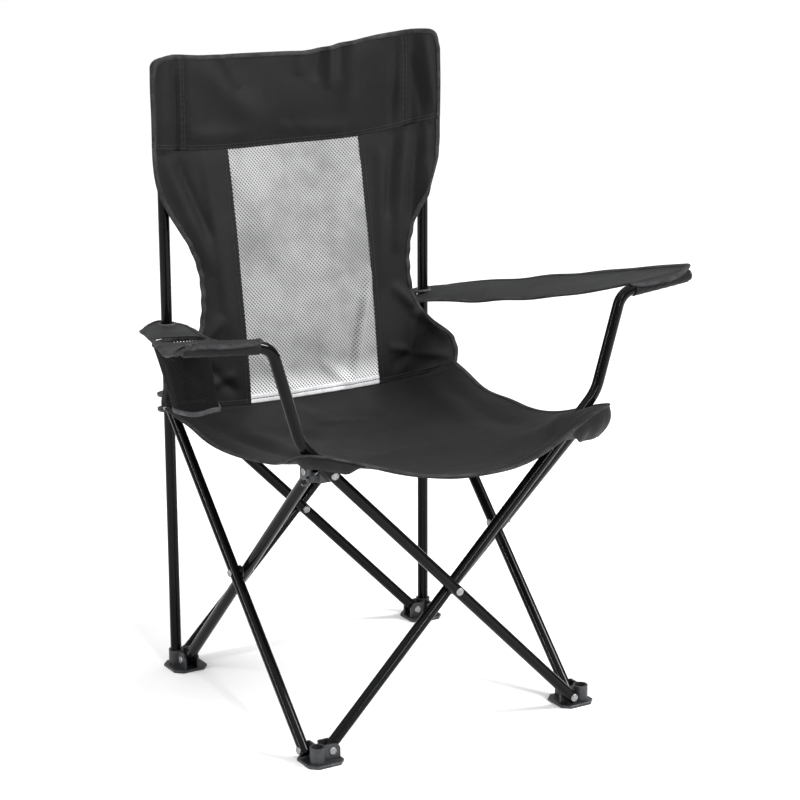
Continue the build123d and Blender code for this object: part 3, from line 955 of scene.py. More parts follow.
@dataclass
class Seat:
    """The seat: one sheet hung from the hubs and sliders, in two pieces that meet across its middle.

    Its height is the parabola from front to back through three cross sections: front hem, middle, rear seam.
    """

    half_width: float = 243.0
    rear: float = 166.0
    front: float = -250.0
    bulge: float = 12.0
    thickness: float = 1.3
    front_hem: tuple = ((-245, 446), (-194, 429), (-134, 414), (-69, 395), (0, 386), (60, 384), (101, 391),
                        (174, 420), (215, 438), (245, 449))
    middle: tuple = ((-245, 393), (-160, 383), (-70, 374), (0, 371.5), (70, 374), (160, 383), (245, 393))
    rear_seam: tuple = ((-245, 414), (-190, 405), (-120, 399.5), (0, 398),
                        (120, 399.5), (190, 405), (245, 414))
    hub_lift: float = 13.0
    hub_spread: float = 42.0
    hole_radius: float = 9.4
    corner_radius: float = 26.0
    columns: int = 181
    rows: int = 82
    folds: tuple = (
        Fold((-205, -212), (-40, -60), 26, 3.0), Fold((205, -200), (50, -70), 30, 2.6),
        Fold((-215, 120), (-60, 20), 24, -2.4), Fold((215, 120), (60, 10), 26, -2.6),
        Fold((-140, -246), (-190, -60), 18, 1.6), Fold((150, -246), (195, -60), 20, -1.8),
        Fold((-60, 160), (-20, 60), 16, 1.8), Fold((70, 160), (30, 70), 18, 1.6),
        Fold((120, -225), (20, -215), 10, 1.2), Fold((105, -185), (-10, -190), 12, -0.9),
        Fold((-214, 160), (-128, -200), 16, -4.2), Fold((-178, 165), (-92, -205), 20, 3.4),
        Fold((212, 165), (168, -120), 15, -2.6), Fold((180, 170), (130, -150), 18, 2.4),
        Fold((-236, -170), (-150, -236), 9, 3.0), Fold((236, -150), (150, -228), 10, 2.6),
        Fold((60, -60), (-70, -90), 8, 0.9), Fold((40, 60), (-60, 80), 9, 0.8))

    def height(self, x: Array, y: Array) -> Array:
        """Height of the cloth's middle at x and y.

        With b from -1 at the front hem to 1 at the rear seam, the height is front * b (b - 1) / 2
        + middle * (1 - b^2) + rear * b (b + 1) / 2, plus a bell over each front hub, the folds and a ripple.

        Args:
            x: Across the chair.
            y: From front to back.

        Returns:
            Heights in millimetres.
        """
        centre, reach = (self.rear + self.front) / 2, (self.rear - self.front) / 2
        b = (y - centre) / reach
        z = (smooth_line(x, self.front_hem) * b * (b - 1) / 2 + smooth_line(x, self.middle) * (1 - b * b)
             + smooth_line(x, self.rear_seam) * b * (b + 1) / 2)
        away = (np.abs(x) - 196) ** 2 + (y + MEASURES.half - 8) ** 2
        z = z + self.hub_lift * np.exp(-away / self.hub_spread ** 2)
        inside = (smoothstep(reach - np.abs(y - centre), 0, 40)
                  * smoothstep(self.half_width - np.abs(x), 0, 30))
        z = z + sum(f.lift(x, y) for f in self.folds) * smoothstep(self.half_width - np.abs(x), -10, 30)
        return z + 1.0 * ripple(x, y, 150, 3) * inside

    def surface(self, x: Array, y: Array) -> Array:
        """Points of the cloth over flat x and y: the front bows forward and each side hem waves."""
        centre, reach = (self.rear + self.front) / 2, (self.rear - self.front) / 2
        radius = self.corner_radius
        u = np.clip((np.abs(x) - self.half_width) / radius + 1, 0, None)
        v = np.clip((self.front - y) / radius + 1, 0, None)
        x = x + np.sign(x) * radius * u * (np.sqrt(1 - np.clip(v, 0, 1.2) ** 2 / 2) - 1)
        y = y - radius * v * (np.sqrt(1 - np.clip(u, 0, 1.2) ** 2 / 2) - 1)
        a = np.abs(x) / self.half_width
        bow = self.bulge * (1 - a * a) * np.clip((centre - y) / reach, 0, 1) ** 2
        side = 5.0 * np.sin(math.pi * np.clip((y - self.front) / (self.rear - self.front), 0, 1)) * a ** 4
        moved = x - np.sign(x) * side
        moved = moved + np.sign(x) * a ** 6 * 1.4 * np.sin(y / 19.0 + np.sign(x))
        z = self.height(x, y) + a ** 8 * 1.6 * np.sin(y / 26.0 + 1.7 * np.sign(x))
        return np.stack([moved, y - bow, z], axis=-1)

    def arm_hole(self, sign: float) -> tuple[float, float, float, float]:
        """Where an arm tube passes through the cloth.

        The tube rises as fast as it runs outward. Its section by the cloth is an oval, longer along x.

        Args:
            sign: -1 for the left arm, 1 for the right.

        Returns:
            The oval's centre x and y and its half lengths along x and y.
        """
        y = MEASURES.arm_left_y if sign < 0 else MEASURES.arm_right_y
        slope = 1.013
        hub_x, hub_z = MEASURES.half - 22.0, MEASURES.hub_top - 10.0
        x = hub_x + 20.0
        for _ in range(20):
            z = float(self.height(np.array([sign * x]), np.array([y]))[0])
            x = hub_x + (z - hub_z) / slope
        z0, z1 = (float(self.height(np.array([sign * (x + d)]), np.array([y]))[0]) for d in (-6, 6))
        steep = (z1 - z0) / 12
        along = self.hole_radius / abs((slope - steep) / math.hypot(1, slope))
        return sign * x, y, min(along, 22.0), self.hole_radius

    def half_piece(self, name: str, y_start: float, y_end: float, holes: bool) -> tuple[Piece, Array]:
        """One half of the seat.

        Args:
            name: The piece's name.
            y_start: Flat y of its first row.
            y_end: Flat y of its last row.
            holes: Whether the arm tubes pass through it.

        Returns:
            The piece and its grid of points.
        """
        y, x = np.meshgrid(np.linspace(y_start, y_end, self.rows),
                           np.linspace(-self.half_width, self.half_width, self.columns), indexing="ij")
        keep = np.ones((self.rows - 1, self.columns - 1), bool)
        if holes:
            for sign in (-1, 1):
                cx, cy, rx, ry = self.arm_hole(sign)
                dx, dy = (x - cx) / rx, (y - cy) / ry
                away = np.hypot(dx, dy)
                inside = away < 1
                corners = inside[:-1, :-1] & inside[1:, :-1] & inside[:-1, 1:] & inside[1:, 1:]
                keep &= ~corners
                out = 1 / np.maximum(away, 1e-3)
                x, y = np.where(inside, cx + dx * out * rx, x), np.where(inside, cy + dy * out * ry, y)
        grid = self.surface(x, y)
        flat = np.stack([x, y], axis=-1) / 1000
        return slab(name, grid, self.thickness, flat, keep), grid

    def build(self) -> None:
        """Make both halves, the hems and tapes, the collars of the arm tubes and the stitches."""
        centre = (self.rear + self.front) / 2
        front, front_grid = self.half_piece("seat_front_cloth", self.front, centre, True)
        rear, rear_grid = self.half_piece("seat_rear_cloth", centre, self.rear, False)
        for piece, ride, node in ((front, SEAT_FRONT_RIDE, "seat_front_half"),
                                  (rear, SEAT_REAR_RIDE, "seat_rear_half")):
            dress(piece, SEAT_CANVAS, ride)
            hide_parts(node)
        pieces = {SEAT_FRONT_RIDE: [], SEAT_REAR_RIDE: []}
        front_stitches, rear_stitches = Seams(), Seams()
        normal = normals_of(front_grid)
        edge, facing = (np.concatenate([g[::-1, 0], g[0, 1:-1], g[:, -1]]) for g in (front_grid, normal))
        hem = Hem.along(edge, facing, front_grid[60, 90], 380)
        tape = hem.tape("seat_front_tape", 7.5, 3.2)
        pieces[SEAT_FRONT_RIDE].append(dress(tape, TAPE, SEAT_FRONT_RIDE))
        front_stitches.row(hem.path + hem.inward * 5.2, hem.normal, 1.75)
        inward = unit(front_grid[4] - front_grid[0])
        front_stitches.row((front_grid[0] + inward * 22.0)[8:-8], normal[0][8:-8], 0.9)
        normal = normals_of(rear_grid)
        for column, name in ((0, "left"), (-1, "right")):
            hem = Hem.along(rear_grid[:, column], normal[:, column], rear_grid[40, 90], 110)
            pieces[SEAT_REAR_RIDE].append(dress(hem.tape(f"seat_{name}_tape", 7.5, 3.2), TAPE, SEAT_REAR_RIDE))
            rear_stitches.row(hem.path + hem.inward * 5.2, hem.normal, 1.75)
        upward = unit(rear_grid[-5] - rear_grid[-1])
        for inset in (3.0, 9.0):
            rear_stitches.row((rear_grid[-1] + upward * inset)[6:-6], normal[-1][6:-6], 0.95)
        for sign, name in SIDES:
            pieces[SEAT_FRONT_RIDE].append(self.collar(sign, name))
            pieces[SEAT_FRONT_RIDE].append(self.corner_pocket(sign, name))
        pieces[SEAT_FRONT_RIDE].append(self.valance())
        for seams, ride, tag in ((front_stitches, SEAT_FRONT_RIDE, "front"),
                                 (rear_stitches, SEAT_REAR_RIDE, "rear")):
            pieces[ride].append(dress(seams.build(f"seat_stitches_{tag}"), THREAD, ride))

    def collar(self, sign: float, name: str) -> Piece:
        """Sewn collar round the oval hole of an arm tube: binding tape carried round it on the cloth."""
        cx, cy, rx, ry = self.arm_hole(sign)
        angle = np.linspace(0, 2 * math.pi, 48, endpoint=False)
        ring = self.surface(cx + rx * np.cos(angle), cy + ry * np.sin(angle))
        outer = self.surface(cx + (rx + 4) * np.cos(angle), cy + (ry + 4) * np.sin(angle))
        outward = unit(outer - ring)
        along = unit(np.roll(ring, -1, axis=0) - np.roll(ring, 1, axis=0))
        up = unit(np.cross(along, outward))
        up = up * np.sign(up[:, 2:3])
        piece = swept(f"seat_{name}_collar", ring, outward, up, tape_profile(4.6, 2.8), ring=True)
        return dress(piece, TAPE, SEAT_FRONT_RIDE)

    def corner_pocket(self, sign: float, name: str) -> Piece:
        """Pocket sewn under a front corner: it follows the hem round the corner, hangs down and curls in.

        Its lower edge is level round the corner and rises to the hem at both ends. It is pulled in by a third
        of the drop.

        Args:
            sign: -1 for the left corner, 1 for the right.
            name: The piece's name.

        Returns:
            The new piece.
        """
        deep = 60.0 if sign > 0 else 15.0
        s, q = np.meshgrid(np.linspace(0, 1, 26), np.linspace(0, 1, 90), indexing="ij")
        along = 142.0 * q
        x = np.clip(self.half_width - 82.0 + along, None, self.half_width - 1.5)
        y = self.front + 1.5 + np.clip(along - 82.0, 0, None)
        hem = self.surface(sign * x, y)
        drop = (np.minimum(hem[..., 2] - 401.0, deep) * smoothstep(q, 0.0, 0.2)
                * (1 - smoothstep(q, 0.66, 0.95)) + 2.5)
        turn = smoothstep(q, 0.42, 0.72) * math.pi / 2
        inward = np.stack([-sign * np.sin(turn), np.cos(turn), np.zeros_like(turn)], axis=-1)
        curl = drop * (0.36 * s ** 2 - 0.10 * np.sin(math.pi * s)) + 1.2 * np.sin(31 * q) * s
        grid = hem + inward * curl[..., None]
        grid[..., 2] -= 1.6 + drop * s
        piece = slab(f"seat_{name}_pocket", grid, 1.2, np.stack([along, drop * s], axis=-1) / 1000)
        return dress(piece, CANVAS, SEAT_FRONT_RIDE)

    def valance(self) -> Piece:
        """Strip sewn under the front hem, deepest in the middle, where it shows below the hem."""
        s, t = np.meshgrid(np.linspace(0, 1, 9), np.linspace(0, 1, 90), indexing="ij")
        x = -150 + 300 * t
        hem = self.surface(x, np.full_like(x, self.front + 2.0))
        drop = 1.5 + 3.0 * np.sin(math.pi * t) ** 0.7 + 0.8 * np.sin(17 * t)
        grid = hem + np.stack([np.zeros_like(s), 4.5 + 3.0 * s, -1.4 - drop * s], axis=-1)
        piece = slab("seat_front_valance", grid, 1.1, np.stack([t * 0.33, s * 0.02], axis=-1))
        return dress(piece, CANVAS, SEAT_FRONT_RIDE)


# ---------------------------------------------------------------------------------------------------------
# Back
# ---------------------------------------------------------------------------------------------------------

@dataclass
class Back:
    """The back: a mesh panel between two canvas panels, below a header with a pocket for each post."""

    seat: Seat
    rear: float = 166.0
    front_of_posts: float = 201.0
    bow: float = 27.0
    mesh_half: float = 108.0
    bottom: float = 400.0
    thickness: float = 1.3
    half_width: tuple = ((398, 246), (413, 248), (436, 244), (456, 231), (480, 205), (505, 186), (535, 176),
                         (568, 173), (604, 176), (640, 189), (676, 211), (706, 227), (735, 234), (770, 235.5),
                         (840, 234), (920, 233))
    seam: tuple = ((-235, 777), (-175, 769), (-112, 764.5), (0, 763), (105, 764.5), (175, 773), (235, 785))
    top: tuple = ((-236, 901), (-205, 905), (-150, 900.5), (-80, 897.5), (-20, 895.5), (32, 894.5), (77, 901),
                  (120, 907.5), (164, 913), (205, 916), (236, 914))
    pocket_stitch: float = 182.0
    panel_folds: tuple = (
        Fold((218, 785), (196, 560), 8, 5.5), Fold((204, 775), (178, 620), 7, -4.0),
        Fold((186, 790), (150, 590), 8, 4.2), Fold((166, 770), (140, 640), 7, -3.0),
        Fold((232, 740), (190, 640), 6, 3.6), Fold((-222, 775), (-150, 590), 12, 5.0),
        Fold((-196, 760), (-150, 640), 8, -3.6), Fold((-150, 770), (-132, 500), 10, 3.4),
        Fold((140, 752), (124, 540), 9, 3.0), Fold((240, 446), (140, 545), 9, 6.5),
        Fold((224, 476), (168, 500), 7, 4.6), Fold((240, 424), (126, 452), 7, 5.2),
        Fold((205, 470), (130, 418), 8, -5.0), Fold((176, 505), (150, 410), 7, 4.0),
        Fold((-240, 446), (-140, 530), 10, 6.0), Fold((-240, 420), (-126, 446), 8, 4.6),
        Fold((-190, 475), (-126, 415), 8, -4.2), Fold((222, 420), (170, 402), 6, 3.0))
    mesh_folds: tuple = (
        Fold((106, 575), (62, 408), 6, 6.0), Fold((92, 530), (36, 402), 13, -4.6),
        Fold((66, 402), (10, 446), 9, 3.6), Fold((-104, 752), (-30, 560), 26, 4.2),
        Fold((60, 758), (-40, 600), 20, -3.6), Fold((98, 745), (30, 560), 22, 3.4),
        Fold((-98, 480), (-30, 404), 12, 3.6), Fold((-100, 620), (20, 520), 26, -3.0),
        Fold((80, 640), (-20, 470), 20, 3.0))
    header_folds: tuple = (
        Fold((66, 920), (56, 838), 7, 4.6), Fold((50, 915), (38, 850), 8, -2.8),
        Fold((86, 925), (74, 850), 7, -2.4), Fold((104, 925), (86, 800), 12, 3.0),
        Fold((-170, 900), (-40, 785), 20, 4.6), Fold((130, 915), (0, 790), 26, 4.6),
        Fold((172, 915), (160, 775), 7, -4.2), Fold((-176, 790), (-60, 782), 12, 3.2),
        Fold((-30, 790), (90, 778), 10, 2.6), Fold((208, 915), (226, 790), 7, 4.4),
        Fold((196, 880), (210, 780), 6, -3.2), Fold((-120, 910), (-90, 850), 10, 3.4),
        Fold((20, 905), (10, 860), 9, 2.6))

    def depth(self, x: Array, z: Array) -> Array:
        """Distance of the cloth behind the frame's middle.

        It leans back as height^1.35 in the middle and height^0.8 at the hems, and is a parabola across.

        Args:
            x: Across the chair.
            z: Height.

        Returns:
            y in millimetres, before folds.
        """
        span = 767.0 - self.bottom
        rise = np.clip((z - self.bottom) / span, 0, 1)
        middle = self.rear - 3 + (self.front_of_posts + self.bow - self.rear + 3) * rise ** 1.35
        hem = self.rear + (self.front_of_posts - self.rear) * rise ** 0.8
        across = np.clip(np.abs(x) / smooth_line(z, self.half_width), 0, 1.1) ** 2
        return middle + (hem - middle) * across

    def panel_grid(self, x: Array, share: Array, folds: Iterable[Fold]) -> Array:
        """Points of a panel between the seat's rear seam (share 0) and the header's seam (share 1)."""
        low = self.seat.height(np.clip(x, -243, 243), np.full_like(x, self.rear)) + 1.0
        z = low + (smooth_line(x, self.seam) - low) * share
        y = self.depth(x, z) - sum(f.lift(x, z) for f in folds)
        y = y - 1.1 * ripple(x, z, 120, 11) * smoothstep(share, 0, 0.1) * smoothstep(1 - share, 0, 0.1)
        return np.stack([x, y, z], axis=-1)

    def side_panel(self, sign: float, name: str, rows: int = 150, columns: int = 50) -> tuple[Piece, Array]:
        """One canvas panel, from the mesh's edge to the shaped outer hem.

        Args:
            sign: -1 for the left panel, 1 for the right.
            name: The piece's name.
            rows: Grid rows from bottom to top.
            columns: Grid columns from one edge to the other.

        Returns:
            The piece and its grid, whose last column is the outer hem.
        """
        share, s = np.meshgrid(np.linspace(0, 1, rows), np.linspace(0, 1, columns), indexing="ij")
        level = 405.0 + (775.0 - 405.0) * share
        outer = smooth_line(level, self.half_width)
        x = sign * (self.mesh_half + (outer - self.mesh_half) * s)
        grid = self.panel_grid(x, share, self.panel_folds)
        crimp = smoothstep(s, 0.86, 1.0) * smoothstep(share, 0.02, 0.1) * (1 - smoothstep(share, 0.5, 0.9))
        grid[..., 1] += crimp * 1.3 * np.sin(share * 95)
        pucker = np.exp(-((np.abs(x) - self.mesh_half) / 5.0) ** 2) * 0.45 * np.sin(grid[..., 2] / 1.15)
        grid[..., 1] -= pucker
        wing = smoothstep(share, 0.0, 0.04) * (1 - smoothstep(share, 0.14, 0.26)) * s ** 5
        grid[..., 1] -= 7.0 * wing * np.sin(math.pi * np.clip(share / 0.22, 0, 1))
        if sign < 0:
            grid = grid[:, ::-1]
            x = x[:, ::-1]
        piece = slab(name, grid, self.thickness, np.stack([x, grid[..., 2]], axis=-1) / 1000)
        return piece, grid

    def mesh_panel(self) -> tuple[Piece, Array]:
        """The mesh panel: it is a little fuller than the canvas, so it has soft creases near the seat."""
        share, x = np.meshgrid(np.linspace(0, 1, 150), np.linspace(-self.mesh_half, self.mesh_half, 96),
                               indexing="ij")
        grid = self.panel_grid(x, share, self.mesh_folds)
        grid[..., 1] += 1.1
        flat = np.stack([x, grid[..., 2]], axis=-1) / 1000
        return slab("back_mesh_cloth", grid, 1.0, flat), grid

    def header_grid(self, columns: int = 190, rows: int = 64) -> Array:
        """Front of the header: a parabola across, its top hem dipping in the middle, with puckered seams."""
        t, s = np.meshgrid(np.linspace(0, 1, rows), np.linspace(-1, 1, columns), indexing="ij")
        corner = 1 - np.sqrt(1 - np.clip((np.abs(s) - 0.93) / 0.07, 0, 1) ** 2)
        wide = 235.0 - 3.0 * smoothstep(t, 0.85, 1.0)
        x = s * wide
        low, high = smooth_line(x, self.seam), smooth_line(x, self.top) - 13.0 * corner * t
        z = low + (high - low) * t
        across = np.clip(np.abs(x) / 233.0, 0, 1.05) ** 2
        y = self.front_of_posts + self.bow * (1 - across)
        puff = np.sin(math.pi * t) ** 0.7 * (1 - across) * 5.0
        y = (y - puff - sum(f.lift(x, z) for f in self.header_folds)
             - 1.2 * ripple(x, z, 110, 5) * np.sin(math.pi * t))
        stitch = np.exp(-((np.abs(x) - self.pocket_stitch) / 6.0) ** 2)
        y = y + stitch * (2.4 + 0.35 * np.sin(z / 1.3 + 2 * np.sin(z / 17.0)))
        groove = np.where(x < 0, 7.0, 4.2) * np.exp(-(((np.abs(x) - self.pocket_stitch - 12) / 6.5) ** 2))
        y = y + groove * np.clip((950 - z) / 90, 0, 1)
        y = y + np.exp(-(((z - low) / 7.0) ** 2)) * 0.3 * np.sin(x / 1.7)
        y = y - 3.2 * np.exp(-(((np.abs(x) - MEASURES.half - 2) / 11.0) ** 2))
        return np.stack([x, y, z], axis=-1)

    def pocket_back(self, sign: float, name: str, header: Array) -> Piece:
        """Back of a post pocket: from the side hem round behind the post to the pocket's stitch line.

        Its distance behind the front is 26 mm times sin(pi q)^0.6, with q from 0 at the hem to 1 at the
        stitch line, and falls to nothing over the post's end, where it meets the top hem.

        Args:
            sign: -1 for the left pocket, 1 for the right.
            name: The piece's name.
            header: The header's grid.

        Returns:
            The new piece.
        """
        rows = header.shape[0]
        q, r = np.meshgrid(np.linspace(0, 1, 30), np.arange(rows), indexing="xy")
        edge = 234.0 - (234.0 - self.pocket_stitch) * q
        front = np.stack([np.interp(sign * edge[i], header[i, :, 0], header[i, :, 1]) for i in range(rows)])
        z = np.stack([np.interp(sign * edge[i], header[i, :, 0], header[i, :, 2]) for i in range(rows)])
        close = 1 - smoothstep(z, MEASURES.post_top + 2.0, MEASURES.post_top + 9.0)
        near_top = 1 - smoothstep(r / (rows - 1), 0.955, 1.0)
        swell = (27.0 * np.sin(math.pi * np.clip(q, 0, 1)) ** 0.55
                 * np.maximum(np.minimum(close, near_top), 0.0))
        y = front + 1.4 + swell + 0.5 * np.sin(z / 9.0) * np.sin(math.pi * q)
        grid = np.stack([sign * edge, y, z], axis=-1)
        piece = slab(name, grid, 1.2, np.stack([sign * edge, z], axis=-1) / 1000)
        return dress(piece, CANVAS, BACK_RIDE)

    def build(self) -> None:
        """Make the panels, the header and its pockets, the tapes, hems and stitches."""
        seams, pale = Seams(), Seams(pitch=4.2, length=3.2, radius=0.5)
        extras: dict[str, list] = {"header": [], "left": [], "right": [], "mesh": []}
        header_grid = self.header_grid()
        header = slab("back_header_cloth", header_grid, self.thickness,
                      np.stack([header_grid[..., 0], header_grid[..., 2]], axis=-1) / 1000)
        dress(header, CANVAS, BACK_RIDE)
        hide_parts("back_header")
        header_normal = unit(np.cross(np.gradient(header_grid, axis=1), np.gradient(header_grid, axis=0)))
        for sign, name in SIDES:
            extras["header"].append(self.pocket_back(sign, f"header_{name}_pocket", header_grid))
            column = int(round((sign * self.pocket_stitch / 235.0 + 1) / 2 * (header_grid.shape[1] - 1)))
            for step in (-1, 1):
                seams.row(header_grid[:, column + step], header_normal[:, column + step], 0.8)
        edge, facing = (np.concatenate([g[:, 0], g[-1, 1:-1], g[::-1, -1]])
                        for g in (header_grid, header_normal))
        hem = Hem.along(edge, facing, header_grid[32, 95], 320)
        extras["header"].append(dress(hem.tape("header_tape", 6.5, 3.8), TAPE, BACK_RIDE))
        seams.row(hem.path + hem.inward * 4.6, hem.normal, 2.05)
        flap = np.linspace(0, 1, 7)[:, None]
        seam_line = header_grid[0]
        seam_normal = header_normal[0]
        upward = unit(header_grid[3] - header_grid[0])
        for inset in (3.0, 7.5):
            seams.row(seam_line + upward * inset, seam_normal, 0.85)
        hem = np.stack([seam_line * (1 - f) + (seam_line - upward * 6.0) * f - seam_normal * 0.9
                        for f in flap[:, 0]])
        piece = slab("header_seam_allowance", hem[::-1], 1.0,
                     np.stack(np.meshgrid(np.linspace(0, 0.47, hem.shape[1]), flap[:, 0] * 0.006), axis=-1))
        extras["header"].append(dress(piece, CANVAS, BACK_RIDE))
        for sign, name in SIDES:
            panel, grid = self.side_panel(sign, f"back_{name}_cloth")
            dress(panel, CANVAS, BACK_RIDE)
            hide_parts(f"back_panel_{name}")
            normal = unit(np.cross(np.gradient(grid, axis=1), np.gradient(grid, axis=0)))
            outer, inner = (0, -1) if sign < 0 else (-1, 0)
            hem = Hem.along(grid[:, outer], normal[:, outer], grid[75, 25], 190)
            extras[name].append(dress(hem.tape(f"back_{name}_tape", 7.0, 3.2), TAPE, BACK_RIDE))
            seams.row(hem.path + hem.inward * 5.0, hem.normal, 1.75)
            foot = Hem.along(grid[0], normal[0], grid[75, 25], 60)
            band = foot.tape(f"back_{name}_seam_tape", 8.5, 2.6)
            extras[name].append(dress(band, CANVAS, BACK_RIDE))
            for inset in (2.0, 6.8):
                seams.row(foot.path + foot.inward * inset, foot.normal, 1.45)
            toward = unit(grid[:, -4 if inner == -1 else 3] - grid[:, inner])
            for inset in (2.0, 6.5):
                seams.row(grid[:, inner] + toward * inset, normal[:, inner], 0.85)
        mesh, grid = self.mesh_panel()
        dress(mesh, MESH, BACK_RIDE)
        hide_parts("back_mesh")
        normal = unit(np.cross(np.gradient(grid, axis=1), np.gradient(grid, axis=0)))
        upward = unit(grid[4] - grid[0])
        for place, name in ((1.0, "lower"), (7.6, "upper")):
            band = swept(f"mesh_{name}_hem", grid[0] + upward * place + normal[0] * 0.9, upward, normal[0],
                         tape_profile(5.6, 1.6))
            extras["mesh"].append(dress(band, WHITE_TAPE, BACK_RIDE))
        pale.row(grid[0] + upward * 6.9, normal[0], 1.5)
        extras["mesh"].append(dress(pale.build("mesh_hem_stitches"), GREY_THREAD, BACK_RIDE))
        extras["header"].append(dress(seams.build("back_stitches"), THREAD, BACK_RIDE))


# ---------------------------------------------------------------------------------------------------------
# Armrests and cup holder
# ---------------------------------------------------------------------------------------------------------

@dataclass
class Armrest:
    """A strip of canvas from its hole on a rear post to the sleeve on its arm tube."""

    sign: float
    side: str
    body: str
    cup: bool
    rear_half: float = 36.0
    overhang: float = 28.0
    rear_rise: float = 520.0
    front_low: float = 294.0
    front_high: float = 391.0
    sag_inner: float = 20.0
    sag_outer: float = 17.0
    tilt: float = 0.0
    lip: float = 12.0
    flare: Pair = (18.0, -13.0)
    flare_power: int = 12
    thickness: float = 1.8
    wrap_radius: float = 9.6
    post_gap: float = 1.6
    cup_place: float = 0.36
    cup_hole: float = 36.5

    @property
    def arm_y(self) -> float:
        """The arm tube's y."""
        return MEASURES.arm_left_y if self.sign < 0 else MEASURES.arm_right_y

    def tube_height(self, x: Array) -> Array:
        """Height of the arm tube's axis at a distance x from the chair's middle."""
        return MEASURES.arm_rise + (x - MEASURES.arm_tip) * 11.0 / 114.0 + 0.5

    def strip(self, s: Array, t: Array) -> Array:
        """Point of the strip: s is 0 at its inner hem and 1 at its outer, t 0 at its rear end and 1 on the tube.

        x and y run straight from the rear end to the tube. The strip narrows at its rear corners, sags as
        4 t (1 - t) with its own depth at each hem, and its inner hem hangs lower to the rear by the tilt.

        Args:
            s: Across the strip.
            t: Along it.

        Returns:
            Points in millimetres.
        """
        tight = 1 - 0.42 * (1 - smoothstep(t, -0.02, 0.10)) ** 2
        x_rear = MEASURES.half + self.rear_half * (2 * s - 1) * tight
        x_front = self.front_low + (self.front_high - self.front_low) * s
        y_rear = MEASURES.half + self.overhang - 10.0 * (2 * s - 1) ** 2 * (1 - smoothstep(t, 0, 0.12))
        x = x_rear + (x_front - x_rear) * t
        y = y_rear + (self.arm_y - y_rear) * t
        top = self.tube_height(x_front) + self.wrap_radius
        droop = 4 * t * (1 - t) * (self.sag_inner + (self.sag_outer - self.sag_inner) * s)
        droop = droop + self.tilt * (1 - s) ** 1.5 * np.clip(1 - t, 0, 1) ** 0.6
        z = self.rear_rise + (top - self.rear_rise) * t - droop
        z = z - 5.0 * (2 * s - 1) ** 2 * (1 - smoothstep(t, 0.0, 0.2))
        z = z + 0.9 * ripple(x, y, 90, 21 + int(self.sign)) * np.sin(math.pi * np.clip(t, 0, 1))
        z = z + 0.4 * np.sin(y / 16.0) * np.abs(2 * s - 1) ** 6 * np.sin(math.pi * np.clip(t, 0, 1))
        corner = np.clip(s, 0, 1) ** self.flare_power * smoothstep(t, 0.3, 1.0)
        return np.stack([self.sign * (x + self.flare[0] * corner), y, z + self.flare[1] * corner], axis=-1)

    def grid(self, rows: int = 150, columns: int = 45, lip_rows: int = 16) -> tuple[Array, Array, Array]:
        """The strip's grid, with the rows of its lip over the arm tube after those of the strip.

        The lip runs on past the tube and falls as the square of the distance; its corners are rounded.

        Returns:
            The points, the flat coordinates and which cells are cloth.
        """
        t, s = np.meshgrid(np.linspace(0, 1, rows), np.linspace(0, 1, columns), indexing="ij")
        holes = [(MEASURES.half, MEASURES.half, MEASURES.tube_radius + self.post_gap)]
        if self.cup:
            centre = self.cup_centre()
            holes.append((abs(centre[0]), centre[1], self.cup_hole))
        keep = np.ones((rows - 1, columns - 1), bool)
        for hx, hy, radius in holes:
            moved = None
            for _ in range(4):
                points = self.strip(s, t)
                dx, dy = np.abs(points[..., 0]) - hx, points[..., 1] - hy
                away = np.hypot(dx, dy)
                if moved is None:
                    moved = away < radius
                    keep &= ~(moved[:-1, :-1] & moved[1:, :-1] & moved[:-1, 1:] & moved[1:, 1:])
                push = np.where(moved, radius / np.maximum(away, 1e-3) - 1, 0)
                width = 2 * self.rear_half * (1 - t) + (self.front_high - self.front_low) * t
                length = self.arm_y - MEASURES.half - self.overhang
                lean = self.front_low - MEASURES.half + self.rear_half
                t_step = push * dy / length
                s = s + (push * dx - lean * t_step) / width
                t = t + t_step
        points = self.strip(s, t)
        beyond, s_lip = np.meshgrid(np.linspace(0, 1, lip_rows + 1)[1:], s[-1], indexing="ij")
        reach = self.lip * (1 - 0.6 * np.abs(2 * s_lip - 1) ** 4) * beyond
        x = self.front_low + (self.front_high - self.front_low) * s_lip
        fall = 0.042 * reach ** 2 + 0.5 * np.sin(x / 9.0) * beyond
        corner = s_lip ** self.flare_power
        fall = fall - self.flare[1] * corner
        around = np.stack([self.sign * (x + self.flare[0] * corner), self.arm_y - reach,
                           self.tube_height(x) + self.wrap_radius - fall], axis=-1)
        whole = np.concatenate([points, around])
        down = np.linalg.norm(np.diff(whole[:, columns // 2], axis=0), axis=1)
        along = np.concatenate(([0], np.cumsum(down))) / 1000
        flat = np.stack([np.abs(whole[..., 0]) / 1000, np.repeat(along[:, None], columns, 1)], axis=-1)
        keep = np.concatenate([keep, np.ones((lip_rows, columns - 1), bool)])
        return whole, flat, keep

    def cup_centre(self) -> Array:
        """Middle of the cup holder's hole."""
        return self.strip(np.array(0.5), np.array(self.cup_place))

    def ride(self) -> Ride:
        """The armrest's ride: its body, and the way towards its arm tube along which it would draw together as
        the frame folds.
        """
        rear = self.strip(np.array(0.5), np.array(0.0))
        front = np.array([self.sign * (self.front_low + self.front_high) / 2, self.arm_y, MEASURES.arm_rise])
        way = unit((rear - front) * np.array([1.0, 1.0, 0.0]))
        anchor = metres(front)
        return Ride(self.body, tuple(way.tolist()), tuple(anchor.tolist()), FOLDED_ARM_SHARE)

